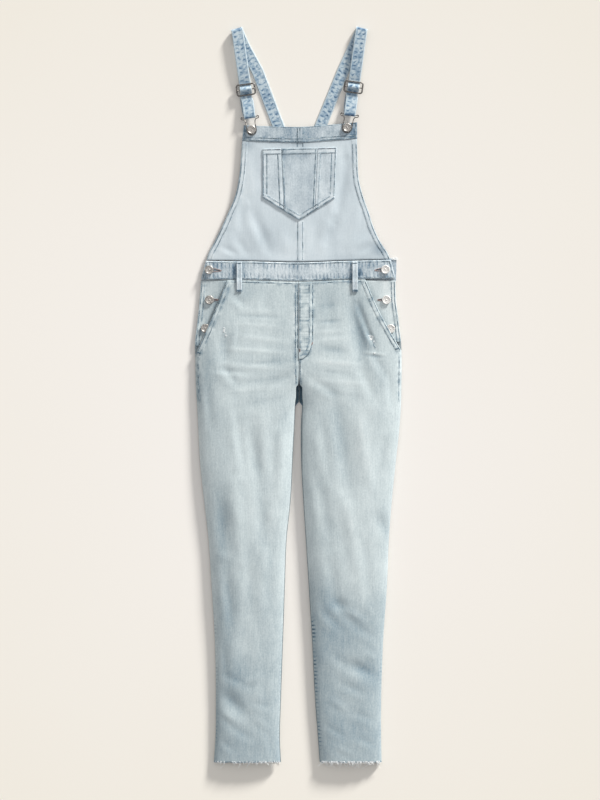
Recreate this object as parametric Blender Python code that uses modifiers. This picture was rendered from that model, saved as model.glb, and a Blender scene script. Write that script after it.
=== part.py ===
"""Denim dungarees, laid flat on a surface with the front up.

The frame: +Y runs from the hems to the shoulders, +X to the wearer's left, +Z up from the surface.
The origin is under the middle of the whole garment, on the surface. All sizes are in millimetres
until they reach a mesh, and heights up the body are measured on the pattern, whose zero is ORIGIN_Y
below that middle. Each panel is an open sheet that follows the garment's own height above the
surface, and Solidify gives it the cloth's thickness. Pieces that meet at a seam stay GAP apart.
"""

import math
from collections import namedtuple

import bmesh
import bpy
import numpy as np

MM = 0.001
ORIGIN_Y = 3.0       # the middle of the laid garment along Y, on the pattern
GAP = 0.3            # clear space between pieces that touch

# Cloth and trim, thickness unless the name says otherwise.
CLOTH = 1.4          # one layer of denim
BAND = 2.6           # two layers and their turnings: front waistband
BACK_BAND = 2.2      # the same, pressed flat under the garment
BIB_BAND = 2.4
PLACKET = 1.1
STRAP = 1.8          # folded and pressed strap
STRAP_WIDTH = 23.0
POCKET = 1.2
FLY = 0.9
LOOP = 1.6
LOOP_WIDTH = 11.0
WIRE = 0.9           # radius of the buckle wire
BUTTON_RADIUS = 8.6
BUTTON_HEIGHT = 3.1
SHANK_RADIUS = 3.0

# Heights of the garment above the surface.
SEAM_Z = 1.8 + CLOTH + GAP       # underside of a front panel along a side seam
BACK_EDGE_Z = 1.8                # underside of a back panel along a side seam
BACK_FLAT = 0.88                 # share of a back panel's half width that lies flat
ARCH_POWER = 3.0                 # 2 is a round section, higher is flatter on top
WAIST_CROWN = 4.3                # the front waistband's middle stands this far above its ends
WAIST_HALF = 190.0

# Where the pattern changes, measured along Y.
WAIST_Y = 223.0                  # lower edge of the waistband at the sides
BAND_CLEARANCE = 0.9             # along Y, between the waistband and the panels below it
BIB_CLEARANCE = 1.8              # the same, between the waistband and the bib above it
CROTCH_Y = -12.0
FLAT_SEAT_Y = 72.0               # above this the two legs share one flat front
HEM_Y = -714.2

Section = namedtuple("Section", "y right_side right_inseam left_inseam left_side crown")
LEG_SECTIONS = [
    Section(WAIST_Y, -190, -1, -1, 189, 9.5),
    Section(186, -193, -1, -1, 190, 11.5),
    Section(147, -197, -1, -1, 195, 13.5),
    Section(108, -201.5, -1, -1, 199.5, 15.0),
    Section(69, -201, 0, 0, 201, 16.5),
    Section(19, -200, 0, 2, 200.5, 18.0),
    Section(CROTCH_Y, -198, -5, 7, 200, 19.0),
    Section(-48, -196, -7, 5, 198, 20.0),
    Section(-126, -192, -11, 5, 190, 21.0),
    Section(-204, -184, -15, 9, 182, 21.0),
    Section(-282, -175, -23, 14, 176, 20.0),
    Section(-360, -170, -26, 19, 173, 19.5),
    Section(-477, -163, -30, 26, 165, 18.0),
    Section(-594, -161, -34, 32, 161, 16.5),
    Section(-672, -162, -36, 38, 161, 15.5),
    Section(HEM_Y, -165, -34, 41, 162, 14.5),
]

# The largest folds of the legs: a trough from (x, y) to (x_end, y_end).
Fold = namedtuple("Fold", "x y x_end y_end depth half_width")
FOLDS = [
    Fold(-95, -55, -73, -180, 3.5, 16),
    Fold(-73, -180, -67, -285, 3.0, 14),
    Fold(-152, -190, -148, -295, 3.0, 13),
    Fold(-145, -580, -108, -618, 3.0, 14),
    Fold(104, 190, 128, 55, 3.5, 15),
    Fold(-145, 120, -143, 62, 2.5, 12),
    Fold(75, -15, 100, -195, 3.5, 16),
    Fold(155, -235, 178, -272, 2.5, 12),
    Fold(70, -398, 92, -418, 2.5, 12),
    Fold(97, -520, 147, -545, 3.0, 13),
]

# The bib: side edges and heights of its underside, from the waistband up.
BibRow = namedtuple("BibRow", "y right left edge_z crown")
BIB_ROWS = [
    BibRow(262, -180, 180, 4.7, 8.5),
    BibRow(278, -175, 173, 4.4, 8.0),
    BibRow(293, -167, 163, 4.2, 7.6),
    BibRow(325, -151, 147, 3.9, 7.2),
    BibRow(356, -137, 137, 3.8, 7.0),
    BibRow(387, -124, 126, 3.8, 6.8),
    BibRow(418, -117, 118, 4.0, 6.6),
    BibRow(465, -112, 115, 4.4, 6.4),
    BibRow(495, -110, 114, 4.8, 6.4),
    BibRow(530, -107, 114, 5.0, 6.4),
]
BACK_BIB_ROWS = [
    BibRow(262, -169, 171, 0, 0),
    BibRow(313, -126, 128, 0, 0),
    BibRow(356, -95, 97, 0, 0),
    BibRow(401, -69, 71, 0, 0),
    BibRow(440, -50, 52, 0, 0),
    BibRow(471, -38, 40, 0, 0),
]

# Edges that run across the garment, as points (x, y) from the wearer's right to the left.
Edge = namedtuple("Edge", "x y")
WAISTBAND_TOP = [Edge(-181, 262), Edge(-90, 261), Edge(1, 259), Edge(90, 262), Edge(180, 264)]
WAISTBAND_FOOT = [Edge(-190, 226), Edge(-95, 225), Edge(1, 222.5), Edge(95, 226), Edge(189, 228)]
BIB_BAND_TOP = [Edge(-106.5, 526), Edge(-50, 524), Edge(1, 523), Edge(60, 527), Edge(114, 532)]
BIB_BAND_FOOT = [Edge(-110, 496), Edge(-50, 493.5), Edge(1, 492.5), Edge(60, 496), Edge(114, 500)]
BACK_BAND_RISE = 3.5             # the back band shows this much above the front one, at the left side

# Slanted hip pockets: the front panel's edge from the waistband to the side seam.
Slant = namedtuple("Slant", "side x_top y_top y_foot")
SLANTS = [Slant("right", -140.5, 222, 79), Slant("left", 137.5, 224, 86)]
POCKET_GAPE = 5.4                # how far the pocket mouth stands off the hip facing
FACING_LAP = 12.0                # the facing runs on under the pocket mouth
FACING_FOOT = 17.0               # and stops this far above the foot of the mouth
PLACKET_INSET = 13.0             # the side placket's strip, in from the side seam
PLACKET_WIDTH = 27.0

# Chest pocket: a pentagon of three panels, with its point down.
PocketPanel = namedtuple("PocketPanel", "name left_foot right_foot left_top right_top")
POCKET_PANELS = [
    PocketPanel("pocket_side_r", -70.5, -29.0, -70.5, -34.0),
    PocketPanel("pocket_centre", -29.0, 31.5, -34.0, 37.0),
    PocketPanel("pocket_side_l", 31.5, 70.5, 37.0, 74.0),
]
POCKET_POINT = Edge(1, 341)
POCKET_SIDE_DROP = 0.62          # the lower edge climbs this much for each millimetre sideways
POCKET_TOP_Y = 481.5
POCKET_TOP_TILT = 0.021
POCKET_CLEARANCE = 0.45          # off the bib, so that the facets of the two stay apart

# Buttons on the side openings and the bib.
Button = namedtuple("Button", "name x y on")
BUTTONS = [
    Button("side_button_r_1", -174, 244.7, "waistband"),
    Button("side_button_r_2", -173.5, 186.2, "facing"),
    Button("side_button_r_3", -181.7, 130.8, "facing"),
    Button("side_button_l_1", 169.3, 245.3, "waistband"),
    Button("side_button_l_2", 171.2, 186.2, "facing"),
    Button("side_button_l_3", 179.5, 130.0, "facing"),
    Button("bib_button_r", -91.5, 517.3, "bib_band"),
    Button("bib_button_l", 94.6, 521.6, "bib_band"),
]

# Straps. The back run climbs from the back bib to the fold at the shoulder; the front run comes down
# to the hook. turn is the angle of the strap's width from +X, in degrees.
StrapPlan = namedtuple("StrapPlan", "side x_end y_end turn_back x_rise y_rise x_fold y_fold "
                       "turn_fold x_bar y_bar turn_front x_button y_button")
STRAP_PLANS = [
    StrapPlan("r", -11.8, 452, 20.6, -107.2, 704.4, -119.4, 713.0, 14.7, -95.0, 542.0, 8.1, -91.5, 517.3),
    StrapPlan("l", 13.2, 452, -22.1, 117.2, 707.2, 122.4, 713.9, -15.0, 99.7, 547.0, -7.7, 94.6, 521.6),
]
FOLD_RADIUS = 5.5                # of the strap's middle, where it turns over at the shoulder
BAR_Z = 8.2                      # the hook's bar
SLIDER_Z = 7.5
SLIDER_AT = 54.0                 # from the hook's bar up the strap to the slider's middle bar
SLIDER_REACH = 10.5              # from the middle bar to the outer bars
SLIDER_HALF_WIDTH = 17.6
WRAP = WIRE + GAP + STRAP / 2    # the strap's middle, round a wire

COLOURS = {
    "denim": (0.56, 0.66, 0.70),
    "denim_deep": (0.42, 0.53, 0.60),
    "metal": (0.55, 0.54, 0.52),
}


# ---------------------------------------------------------------- shared curves and heights

def smooth(keys, values, at):
    """A smooth curve through the keyed values: cubic Hermite, with each slope taken from its neighbours."""
    order = np.argsort(keys)
    keys = np.asarray(keys, float)[order]
    values = np.asarray(values, float)[order]
    slopes = np.gradient(values, keys)
    at = np.clip(np.asarray(at, float), keys[0], keys[-1])
    cell = np.clip(np.searchsorted(keys, at) - 1, 0, len(keys) - 2)
    span = keys[cell + 1] - keys[cell]
    t = (at - keys[cell]) / span
    return (values[cell] * (1 + 2 * t) * (1 - t) ** 2 + values[cell + 1] * t * t * (3 - 2 * t)
            + slopes[cell] * span * t * (1 - t) ** 2 - slopes[cell + 1] * span * t * t * (1 - t))


def column(rows, name, at, key="y"):
    """One named column of a table, read smoothly at the given places."""
    return smooth([getattr(row, key) for row in rows], [getattr(row, name) for row in rows], at)


def ease(low, high, at):
    """0 below low, 1 above high, smooth between."""
    t = np.clip((np.asarray(at, float) - low) / (high - low), 0, 1)
    return t * t * (3 - 2 * t)


def fold_depth(x, y):
    """How far the folds lower the front at a place: each is a soft trough with fading ends."""
    depth = np.zeros(np.broadcast(x, y).shape)
    for fold in FOLDS:
        run = np.array([fold.x_end - fold.x, fold.y_end - fold.y], float)
        along = ((x - fold.x) * run[0] + (y - fold.y) * run[1]) / (run @ run)
        nearest = np.clip(along, 0, 1)
        away = np.hypot(x - fold.x - nearest * run[0], y - fold.y - nearest * run[1])
        fade = 0.35 + 0.65 * np.sin(math.pi * nearest)
        depth += fold.depth * fade * np.exp(-(away / fold.half_width) ** 2)
    return depth


def leg_edges(side, y):
    """The side seam and the inseam of one leg, at the given heights on the body."""
    return column(LEG_SECTIONS, side + "_side", y), column(LEG_SECTIONS, side + "_inseam", y)


def across_leg(side, x, y):
    """Place across a leg: 1 at the side seam, -1 at the inseam, 0 in the middle."""
    outer, inner = leg_edges(side, y)
    return (x - (outer + inner) / 2) / ((outer - inner) / 2)


def leg_height(side, x, y):
    """Underside of the front of a leg: an arch between its seams that meets the other leg at the seat."""
    across = np.clip(across_leg(side, x, y), -1, 1)
    arch = np.sqrt(1 - np.abs(across) ** ARCH_POWER)
    shared = ease(CROTCH_Y - 25, FLAT_SEAT_Y, y) * (across < 0)
    arch = arch + (1 - arch) * shared
    lift = column(LEG_SECTIONS, "crown", y) - SEAM_Z
    return SEAM_Z + (lift - fold_depth(x, y)) * arch


def back_height(side, x, y):
    """Underside of the back of a leg: flat on the surface, turned up at its seams."""
    across = np.clip(across_leg(side, x, y), -1, 1)
    turn_up = np.clip((np.abs(across) - BACK_FLAT) / (1 - BACK_FLAT), 0, 1) ** 2
    shared = ease(CROTCH_Y - 25, FLAT_SEAT_Y, y) * (across < 0)
    return BACK_EDGE_Z * turn_up * (1 - shared)


def slant_x(slant, y):
    """The pocket mouth's edge at a height on the body."""
    foot_x = leg_edges(slant.side, slant.y_foot)[0]
    t = (y - slant.y_foot) / (slant.y_top - slant.y_foot)
    return foot_x + (slant.x_top - foot_x) * t


def facing_height(slant, x, y):
    """Underside of the hip facing: from the side seam's height to just under the pocket mouth."""
    side_x = leg_edges(slant.side, y)[0]
    mouth_x = slant_x(slant, y)
    t = np.clip((y - slant.y_foot) / (slant.y_top - slant.y_foot), 0, 1)
    drop = CLOTH + GAP + POCKET_GAPE * np.sin(math.pi * t)
    share = (x - side_x) / (mouth_x - side_x)
    at_mouth = leg_height(slant.side, mouth_x, y) - drop
    beyond = leg_height(slant.side, x, y) - drop
    return np.where(share < 1, SEAM_Z + (at_mouth - SEAM_Z) * np.clip(share, 0, 1), beyond)


def bib_height(x, y):
    """Underside of the bib: a shallow arch over the straps and the back bib."""
    right, left = column(BIB_ROWS, "right", y), column(BIB_ROWS, "left", y)
    across = np.clip((x - (right + left) / 2) / ((left - right) / 2), -1, 1)
    edge = column(BIB_ROWS, "edge_z", y)
    return edge + (column(BIB_ROWS, "crown", y) - edge) * np.sqrt(1 - np.abs(across) ** ARCH_POWER)


def waistband_height(x):
    """Underside of the front waistband, lowest where it buttons to the back at the sides."""
    across = np.clip(np.abs(x) / WAIST_HALF, 0, 1)
    return SEAM_Z + WAIST_CROWN * np.sqrt(1 - across ** ARCH_POWER)


# ---------------------------------------------------------------- making objects

def in_frame(places):
    """Places on the pattern in millimetres, as places in the frame in metres."""
    return (np.asarray(places, float) - (0, ORIGIN_Y, 0)) * MM


def clear_scene():
    for item in list(bpy.data.objects):
        bpy.data.objects.remove(item, do_unlink=True)


def make_material(name, colour, roughness, metallic):
    material = bpy.data.materials.new(name)
    material.use_nodes = True
    shader = material.node_tree.nodes["Principled BSDF"]
    shader.inputs["Base Color"].default_value = (*colour, 1)
    shader.inputs["Roughness"].default_value = roughness
    shader.inputs["Metallic"].default_value = metallic
    return material


def add_object(name, data, finish):
    """Link one sub-part, with a material of its own."""
    item = bpy.data.objects.new(name, data)
    metal = finish == "metal"
    data.materials.append(make_material(name, COLOURS[finish], 0.3 if metal else 0.9, 1.0 if metal else 0.0))
    bpy.data.collections["dungarees"].objects.link(item)
    return item


def panel(name, surface, columns, rows, thickness, finish="denim"):
    """A cloth panel: a grid bent to surface(u, v) -> x, y, z of its underside, then thickened upwards.

    columns and rows are the places in 0 to 1 at which the grid is cut.
    """
    mesh_maker = bmesh.new()
    bmesh.ops.create_grid(mesh_maker, x_segments=len(columns) - 1, y_segments=len(rows) - 1, size=0.5)
    flat = np.array([vertex.co[:2] for vertex in mesh_maker.verts]) + 0.5
    u = np.interp(flat[:, 0], np.linspace(0, 1, len(columns)), columns)
    v = np.interp(flat[:, 1], np.linspace(0, 1, len(rows)), rows)
    x, y, z = surface(u, v)
    for vertex, place in zip(mesh_maker.verts, in_frame(np.stack(np.broadcast_arrays(x, y, z), axis=1))):
        vertex.co = place
    mesh = bpy.data.meshes.new(name)
    mesh_maker.to_mesh(mesh)
    mesh_maker.free()
    item = add_object(name, mesh, finish)
    wall = item.modifiers.new("cloth", "SOLIDIFY")
    wall.thickness = thickness * MM
    wall.offset = 1.0
    wall.use_even_offset = False
    mesh.shade_smooth()
    return item


def ribbon(name, centres, widths, width, thickness, finish="denim"):
    """A strap: a flat section carried along centres, with its width along the given directions."""
    centres = np.asarray(centres, float)
    widths = np.asarray(widths, float)
    tangents = np.gradient(centres, axis=0)
    normals = np.cross(tangents, widths)
    normals /= np.linalg.norm(normals, axis=1)[:, None]
    corners = [(-1, -1), (1, -1), (1, 1), (-1, 1)]
    mesh_maker = bmesh.new()
    rings = []
    for centre, across, up in zip(centres, widths, normals):
        ring = [centre + across * width / 2 * a - up * thickness / 2 * b for a, b in corners]
        rings.append([mesh_maker.verts.new(in_frame(place)) for place in ring])
    for first, second in zip(rings, rings[1:]):
        for k in range(4):
            mesh_maker.faces.new((first[k], first[(k + 1) % 4], second[(k + 1) % 4], second[k]))
    mesh_maker.faces.new(rings[0][::-1])
    mesh_maker.faces.new(rings[-1])
    bmesh.ops.recalc_face_normals(mesh_maker, faces=mesh_maker.faces)
    mesh = bpy.data.meshes.new(name)
    mesh_maker.to_mesh(mesh)
    mesh_maker.free()
    return add_object(name, mesh, finish)


def wire_curve(name, routes, radius):
    """Bent wire: each route is a list of places and whether it closes on itself."""
    curve = bpy.data.curves.new(name, "CURVE")
    curve.dimensions = "3D"
    curve.bevel_depth = radius * MM
    curve.bevel_resolution = 1
    curve.use_fill_caps = True
    for places, closed in routes:
        spline = curve.splines.new("POLY")
        spline.points.add(len(places) - 1)
        for point, place in zip(spline.points, places):
            point.co = (*in_frame(place), 1)
        spline.use_cyclic_u = closed
    return add_object(name, curve, "metal")


def spaced(count):
    """Places from 0 to 1, closer together at both ends, where a section turns down to its seams."""
    return (1 - np.cos(np.linspace(0, math.pi, count + 1))) / 2


# ---------------------------------------------------------------- legs and hips

def leg_front(slant):
    """The front of one leg, from the waistband to the hem, cut away at the pocket mouth."""
    side = slant.side
    cuts = [WAIST_Y + 2, 200, 175, 150, 128, 106, slant.y_foot + 14, slant.y_foot + 6, slant.y_foot, 55, 30, 8]
    cuts += list(np.linspace(CROTCH_Y - 6, HEM_Y, 24))
    rows = (np.array(sorted(cuts)) - HEM_Y) / (WAIST_Y + 2 - HEM_Y)

    def surface(u, v):
        y = HEM_Y + (WAIST_Y + 2 - HEM_Y) * v
        outer, inner = leg_edges(side, y)
        sign = -1 if side == "right" else 1
        inner = inner + sign * (GAP / 2 + CLOTH * (1 - ease(CROTCH_Y - 25, FLAT_SEAT_Y, y)))
        edge = np.where(y > slant.y_foot, slant_x(slant, y), outer)
        x = edge + (inner - edge) * u if side == "right" else inner + (edge - inner) * u
        foot_x, foot_y = zip(*[(p.x, p.y) for p in WAISTBAND_FOOT])
        top = smooth(foot_x, foot_y, x) - BAND_CLEARANCE
        y = np.minimum(y, top)
        return x, y, leg_height(side, x, y)

    return panel("leg_front_" + side[0], surface, spaced(11), rows, CLOTH)


def leg_back(side):
    """The back of one leg: flat on the surface, with its seams turned up to meet the front."""
    cuts = np.append(np.linspace(WAIST_Y - 1, 10, 5), np.linspace(CROTCH_Y, HEM_Y, 13))
    rows = (np.sort(cuts) - HEM_Y) / (WAIST_Y - 1 - HEM_Y)
    flat_edge = (1 - BACK_FLAT) / 2
    columns = [0, flat_edge / 2, flat_edge, 0.3, 0.5, 0.7, 1 - flat_edge, 1 - flat_edge / 2, 1]

    def surface(u, v):
        y = HEM_Y + (WAIST_Y - 1 - HEM_Y) * v
        outer, inner = leg_edges(side, y)
        sign = -1 if side == "right" else 1
        inner = inner + sign * (GAP / 2 + 0.1)
        low, high = (outer, inner) if side == "right" else (inner, outer)
        x = low + (high - low) * u
        return x, y, back_height(side, x, y)

    return panel("leg_back_" + side[0], surface, columns, rows, CLOTH)


def hip_facing(slant):
    """The cloth that shows inside the slanted pocket mouth; it carries the buttonholes."""
    top_y = WAIST_Y + 1
    foot_y = slant.y_foot + FACING_FOOT

    def surface(u, v):
        y = foot_y + (top_y - foot_y) * v
        side_x = leg_edges(slant.side, y)[0]
        toward_middle = 1 if slant.side == "right" else -1
        lap_x = slant_x(slant, y) + toward_middle * FACING_LAP
        low, high = (side_x, lap_x) if slant.side == "right" else (lap_x, side_x)
        x = low + (high - low) * u
        return x, y, facing_height(slant, x, y)

    return panel("hip_facing_" + slant.side[0], surface, np.linspace(0, 1, 6), np.linspace(0, 1, 8), CLOTH)


def side_placket(slant):
    """The underlap of the side opening, on the back; the side buttons are sewn to it."""
    top_y = WAIST_Y - 2
    foot_y = slant.y_foot + FACING_FOOT

    def surface(u, v):
        y = foot_y + (top_y - foot_y) * v
        side_x = leg_edges(slant.side, y)[0]
        if slant.side == "right":
            x = side_x + PLACKET_INSET + PLACKET_WIDTH * u
        else:
            x = side_x - PLACKET_INSET - PLACKET_WIDTH * (1 - u)
        return x, y, np.full(np.shape(x), CLOTH + GAP)

    return panel("side_placket_" + slant.side[0], surface, [0, 1], np.linspace(0, 1, 5), PLACKET)


def fly_placket():
    """The mock fly on the wearer's left front: straight down, then round to the centre seam."""
    top_y, bend_y, foot_y, reach = 220.0, 112.0, 71.0, 25.5
    cuts = np.append(np.linspace(foot_y, bend_y, 6), [150, 185, top_y])
    rows = (cuts - foot_y) / (top_y - foot_y)

    def surface(u, v):
        y = foot_y + (top_y - foot_y) * v
        round_off = np.clip((bend_y - y) / (bend_y - foot_y + 1), 0, 1)
        x = 0.5 + reach * np.sqrt(1 - round_off ** 2) * u
        return x, y, leg_height("left", x, y) + CLOTH + GAP

    return panel("fly_placket", surface, np.linspace(0, 1, 4), rows, FLY, "denim_deep")


# ---------------------------------------------------------------- waist and bib

def between_edges(foot, top, height):
    """A surface between two edges that run across the garment."""
    def surface(u, v):
        foot_x = foot[0].x + (foot[-1].x - foot[0].x) * u
        top_x = top[0].x + (top[-1].x - top[0].x) * u
        foot_y = smooth([p.x for p in foot], [p.y for p in foot], foot_x)
        top_y = smooth([p.x for p in top], [p.y for p in top], top_x)
        x = foot_x + (top_x - foot_x) * v
        y = foot_y + (top_y - foot_y) * v
        return x, y, height(x, y)
    return surface


def waistbands():
    """The front band, and the back band that lies flat under it and shows at the left side."""
    front = between_edges(WAISTBAND_FOOT, WAISTBAND_TOP, lambda x, y: waistband_height(x))
    panel("waistband_front", front, spaced(14), [0, 0.5, 1], BAND, "denim_deep")
    foot = [Edge(-189, WAIST_Y), Edge(0, WAIST_Y), Edge(190, WAIST_Y)]
    top = [Edge(-180, 262), Edge(0, 262), Edge(191, 264 + BACK_BAND_RISE)]
    back = between_edges(foot, top, lambda x, y: np.zeros(np.shape(x)))
    panel("waistband_back", back, np.linspace(0, 1, 9), [0, 1], BACK_BAND, "denim_deep")


def front_bib():
    """The bib, from the waistband to its band, with concave sides."""
    def surface(u, v):
        foot = smooth([p.x for p in WAISTBAND_TOP], [p.y for p in WAISTBAND_TOP], -175 + 350 * u) + BIB_CLEARANCE
        top = smooth([p.x for p in BIB_BAND_FOOT], [p.y for p in BIB_BAND_FOOT], -110 + 224 * u) - GAP
        y = foot + (top - foot) * v
        right, left = column(BIB_ROWS, "right", y), column(BIB_ROWS, "left", y)
        x = right + (left - right) * u
        return x, y, bib_height(x, y)

    panel("bib_front", surface, spaced(12), np.linspace(0, 1, 12), CLOTH)


def bib_band():
    """The band along the bib's top, which carries the bib buttons."""
    surface = between_edges(BIB_BAND_FOOT, BIB_BAND_TOP, bib_height)
    panel("bib_band", surface, spaced(10), [0, 0.5, 1], BIB_BAND, "denim_deep")


def back_bib():
    """The back's upper part: flat on the surface, from the back waistband up to the strap ends."""
    def surface(u, v):
        foot = smooth([-180, 0, 191], [262, 262, 264 + BACK_BAND_RISE], -169 + 340 * u) + GAP + 1
        y = foot + (BACK_BIB_ROWS[-1].y - foot) * v
        right, left = column(BACK_BIB_ROWS, "right", y), column(BACK_BIB_ROWS, "left", y)
        return right + (left - right) * u, y, np.zeros(np.shape(y))

    panel("bib_back", surface, np.linspace(0, 1, 7), np.linspace(0, 1, 9), CLOTH)


def chest_pocket():
    """Three panels on the bib, made from its own points and moved out."""
    for part in POCKET_PANELS:
        def surface(u, v, part=part):
            foot_x = part.left_foot + GAP / 2 + (part.right_foot - part.left_foot - GAP) * u
            top_x = part.left_top + GAP / 2 + (part.right_top - part.left_top - GAP) * u
            foot_y = POCKET_POINT.y + POCKET_SIDE_DROP * np.abs(foot_x - POCKET_POINT.x)
            x = foot_x + (top_x - foot_x) * v
            y = foot_y + (POCKET_TOP_Y + POCKET_TOP_TILT * top_x - foot_y) * v
            return x, y, bib_height(x, y) + CLOTH + POCKET_CLEARANCE
        count = 6 if part.name == "pocket_centre" else 4
        panel(part.name, surface, np.linspace(0, 1, count + 1), np.linspace(0, 1, 7), POCKET)


def belt_loops():
    """A loop on each side of the front, over the waistband and down onto the leg."""
    for name, side, x in (("belt_loop_r", "right", -115.4), ("belt_loop_l", "left", 109.8)):
        y = np.array([259.0, 254, 245, 236, 229, 221, 212, 203])
        on_band = waistband_height(np.array(x)) + BAND
        on_leg = leg_height(side, np.array(x), np.array(206.0)) + CLOTH
        lift = np.array([0.4, 1.0, 1.6, 1.6, 1.3, 1.2, 0.7, 0.5])
        surface_z = on_band + (on_leg - on_band) * ease(232, 218, y)
        centres = np.stack([np.full(len(y), x), y, surface_z + GAP + LOOP / 2 + lift], axis=1)
        ribbon(name, centres, np.tile([1.0, 0, 0], (len(y), 1)), LOOP_WIDTH, LOOP)


# ---------------------------------------------------------------- straps, buckles and buttons

def turned(angle):
    """The strap's width direction and its upward run, for a turn in degrees."""
    turn = math.radians(angle)
    return np.array([math.cos(turn), math.sin(turn), 0]), np.array([-math.sin(turn), math.cos(turn), 0])


def arc(centre_s, centre_z, radius, start, end, count):
    """Places on an arc in the strap's own side view; angles in degrees from the strap's upward run."""
    angles = np.radians(np.linspace(start, end, count))
    return [(centre_s + radius * math.cos(a), centre_z + radius * math.sin(a)) for a in angles]


def strap(plan):
    """One band: off the back bib, over at the shoulder, through the slider, round the hook's bar and
    back up under itself to the slider's middle bar. The front stretch is laid out in side view as
    (distance up from the hook's bar, height)."""
    back = np.array([plan.x_rise - plan.x_end, plan.y_rise - plan.y_end])
    length = np.hypot(*back)
    back_bib_top = BACK_BIB_ROWS[-1].y
    steps = [(0.0, True), (12.0, True)]
    clear = (back_bib_top + 9 - plan.y_end) / math.cos(math.radians(plan.turn_back))
    steps += [(clear, True), (clear + 6, None), (clear + 14, False)]
    steps += [(place, False) for place in np.linspace(clear + 60, length, 4)]
    on_bib, on_floor = CLOTH + GAP + STRAP / 2, STRAP / 2
    places, turns = [], []
    for distance, raised in steps:
        height = on_bib if raised else (on_bib + on_floor) / 2 if raised is None else on_floor
        places.append((plan.x_end + back[0] * distance / length, plan.y_end + back[1] * distance / length, height))
        turns.append(plan.turn_back)

    for t in np.linspace(0, 1, 9)[1:]:                 # over at the shoulder
        angle = math.pi * t - math.pi / 2
        share = t * t * (3 - 2 * t)
        turn = plan.turn_back + (plan.turn_fold - plan.turn_back) * min(2 * t, 1)
        turn += (plan.turn_front - plan.turn_fold) * max(2 * t - 1, 0)
        upward = turned(plan.turn_fold)[1]
        base = np.array([plan.x_rise, plan.y_rise]) * (1 - share) + np.array([plan.x_fold, plan.y_fold]) * share
        reach = FOLD_RADIUS * math.cos(angle)
        places.append((base[0] + upward[0] * reach, base[1] + upward[1] * reach,
                       on_floor + FOLD_RADIUS * (1 + math.sin(angle))))
        turns.append(turn)

    top_s = math.hypot(plan.x_fold - plan.x_bar, plan.y_fold - plan.y_bar)
    under = SLIDER_Z - WRAP
    over = SLIDER_Z + 2 * WRAP
    side_view = [(top_s - 22, 12.0), (top_s - 50, 11.0), (SLIDER_AT + 36, 8.6), (SLIDER_AT + 22, 6.6),
                 (SLIDER_AT + 14, under - 0.1), (SLIDER_AT + 9.5, under - 0.1), (SLIDER_AT + 6.9, under + 0.5)]
    side_view += arc(SLIDER_AT, SLIDER_Z, 2 * WRAP + 0.2, 12, 168, 7)
    side_view += [(SLIDER_AT - 6.9, under + 0.5), (SLIDER_AT - 9.5, under - 0.1), (SLIDER_AT - 13, under - 0.1),
                  (SLIDER_AT - 22, under + 1), (20, 8.4), (8, 10.0)]
    side_view += arc(0, BAR_Z, WRAP, 80, 290, 8)
    side_view += [(8, 5.6), (20, 4.2), (SLIDER_AT - 20, under - 2 * STRAP + 1.2), (SLIDER_AT - 10, over - 8.5),
                  (SLIDER_AT - 6, over - 8.3)]
    side_view += arc(SLIDER_AT, SLIDER_Z, WRAP, -100, 95, 8)
    run = np.array([plan.x_fold - plan.x_bar, plan.y_fold - plan.y_bar, 0]) / top_s
    for distance, height in side_view:
        places.append((plan.x_bar + run[0] * distance, plan.y_bar + run[1] * distance, height))
        turns.append(plan.turn_front)
    widths = [turned(turn)[0] for turn in turns]
    ribbon("strap_" + plan.side, places, widths, STRAP_WIDTH, STRAP)


def slider(plan):
    """The slider: a rounded wire frame with a middle bar, one piece."""
    across, upward = turned(plan.turn_front)
    run = np.array([plan.x_fold - plan.x_bar, plan.y_fold - plan.y_bar, 0])
    middle = np.array([plan.x_bar, plan.y_bar, SLIDER_Z]) + run / np.linalg.norm(run) * SLIDER_AT
    corner = 4.0
    frame = []
    for quarter, (a, b) in enumerate([(1, 1), (-1, 1), (-1, -1), (1, -1)]):
        for k in range(4):
            angle = math.radians(90 * quarter + 30 * k)
            frame.append(middle + across * (a * (SLIDER_HALF_WIDTH - corner) + corner * math.cos(angle))
                         + upward * (b * (SLIDER_REACH - corner) + corner * math.sin(angle)))
    bar = [middle - across * SLIDER_HALF_WIDTH, middle + across * SLIDER_HALF_WIDTH]
    ring = as_mesh(wire_curve("slider_" + plan.side, [(frame, True)], WIRE))
    rod = as_mesh(wire_curve("bar_" + plan.side, [(bar, False)], WIRE * 0.9))
    join = ring.modifiers.new("join", "BOOLEAN")
    join.operation = "UNION"
    join.solver = "EXACT"
    join.object = rod
    bpy.data.collections["cutters"].objects.link(rod)
    bpy.data.collections["dungarees"].objects.unlink(rod)
    rod.hide_render = True
    rod.display_type = "WIRE"


def as_mesh(curve_object):
    """The same wire as a mesh, with its caps welded, so that it can be joined."""
    bpy.context.view_layer.update()
    evaluated = curve_object.evaluated_get(bpy.context.evaluated_depsgraph_get())
    mesh = bpy.data.meshes.new_from_object(evaluated)
    welder = bmesh.new()
    welder.from_mesh(mesh)
    bmesh.ops.remove_doubles(welder, verts=welder.verts, dist=1e-6)
    bmesh.ops.recalc_face_normals(welder, faces=welder.faces)
    welder.to_mesh(mesh)
    welder.free()
    name = curve_object.name
    bpy.data.objects.remove(curve_object, do_unlink=True)
    return add_object(name, mesh, "metal")


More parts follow.
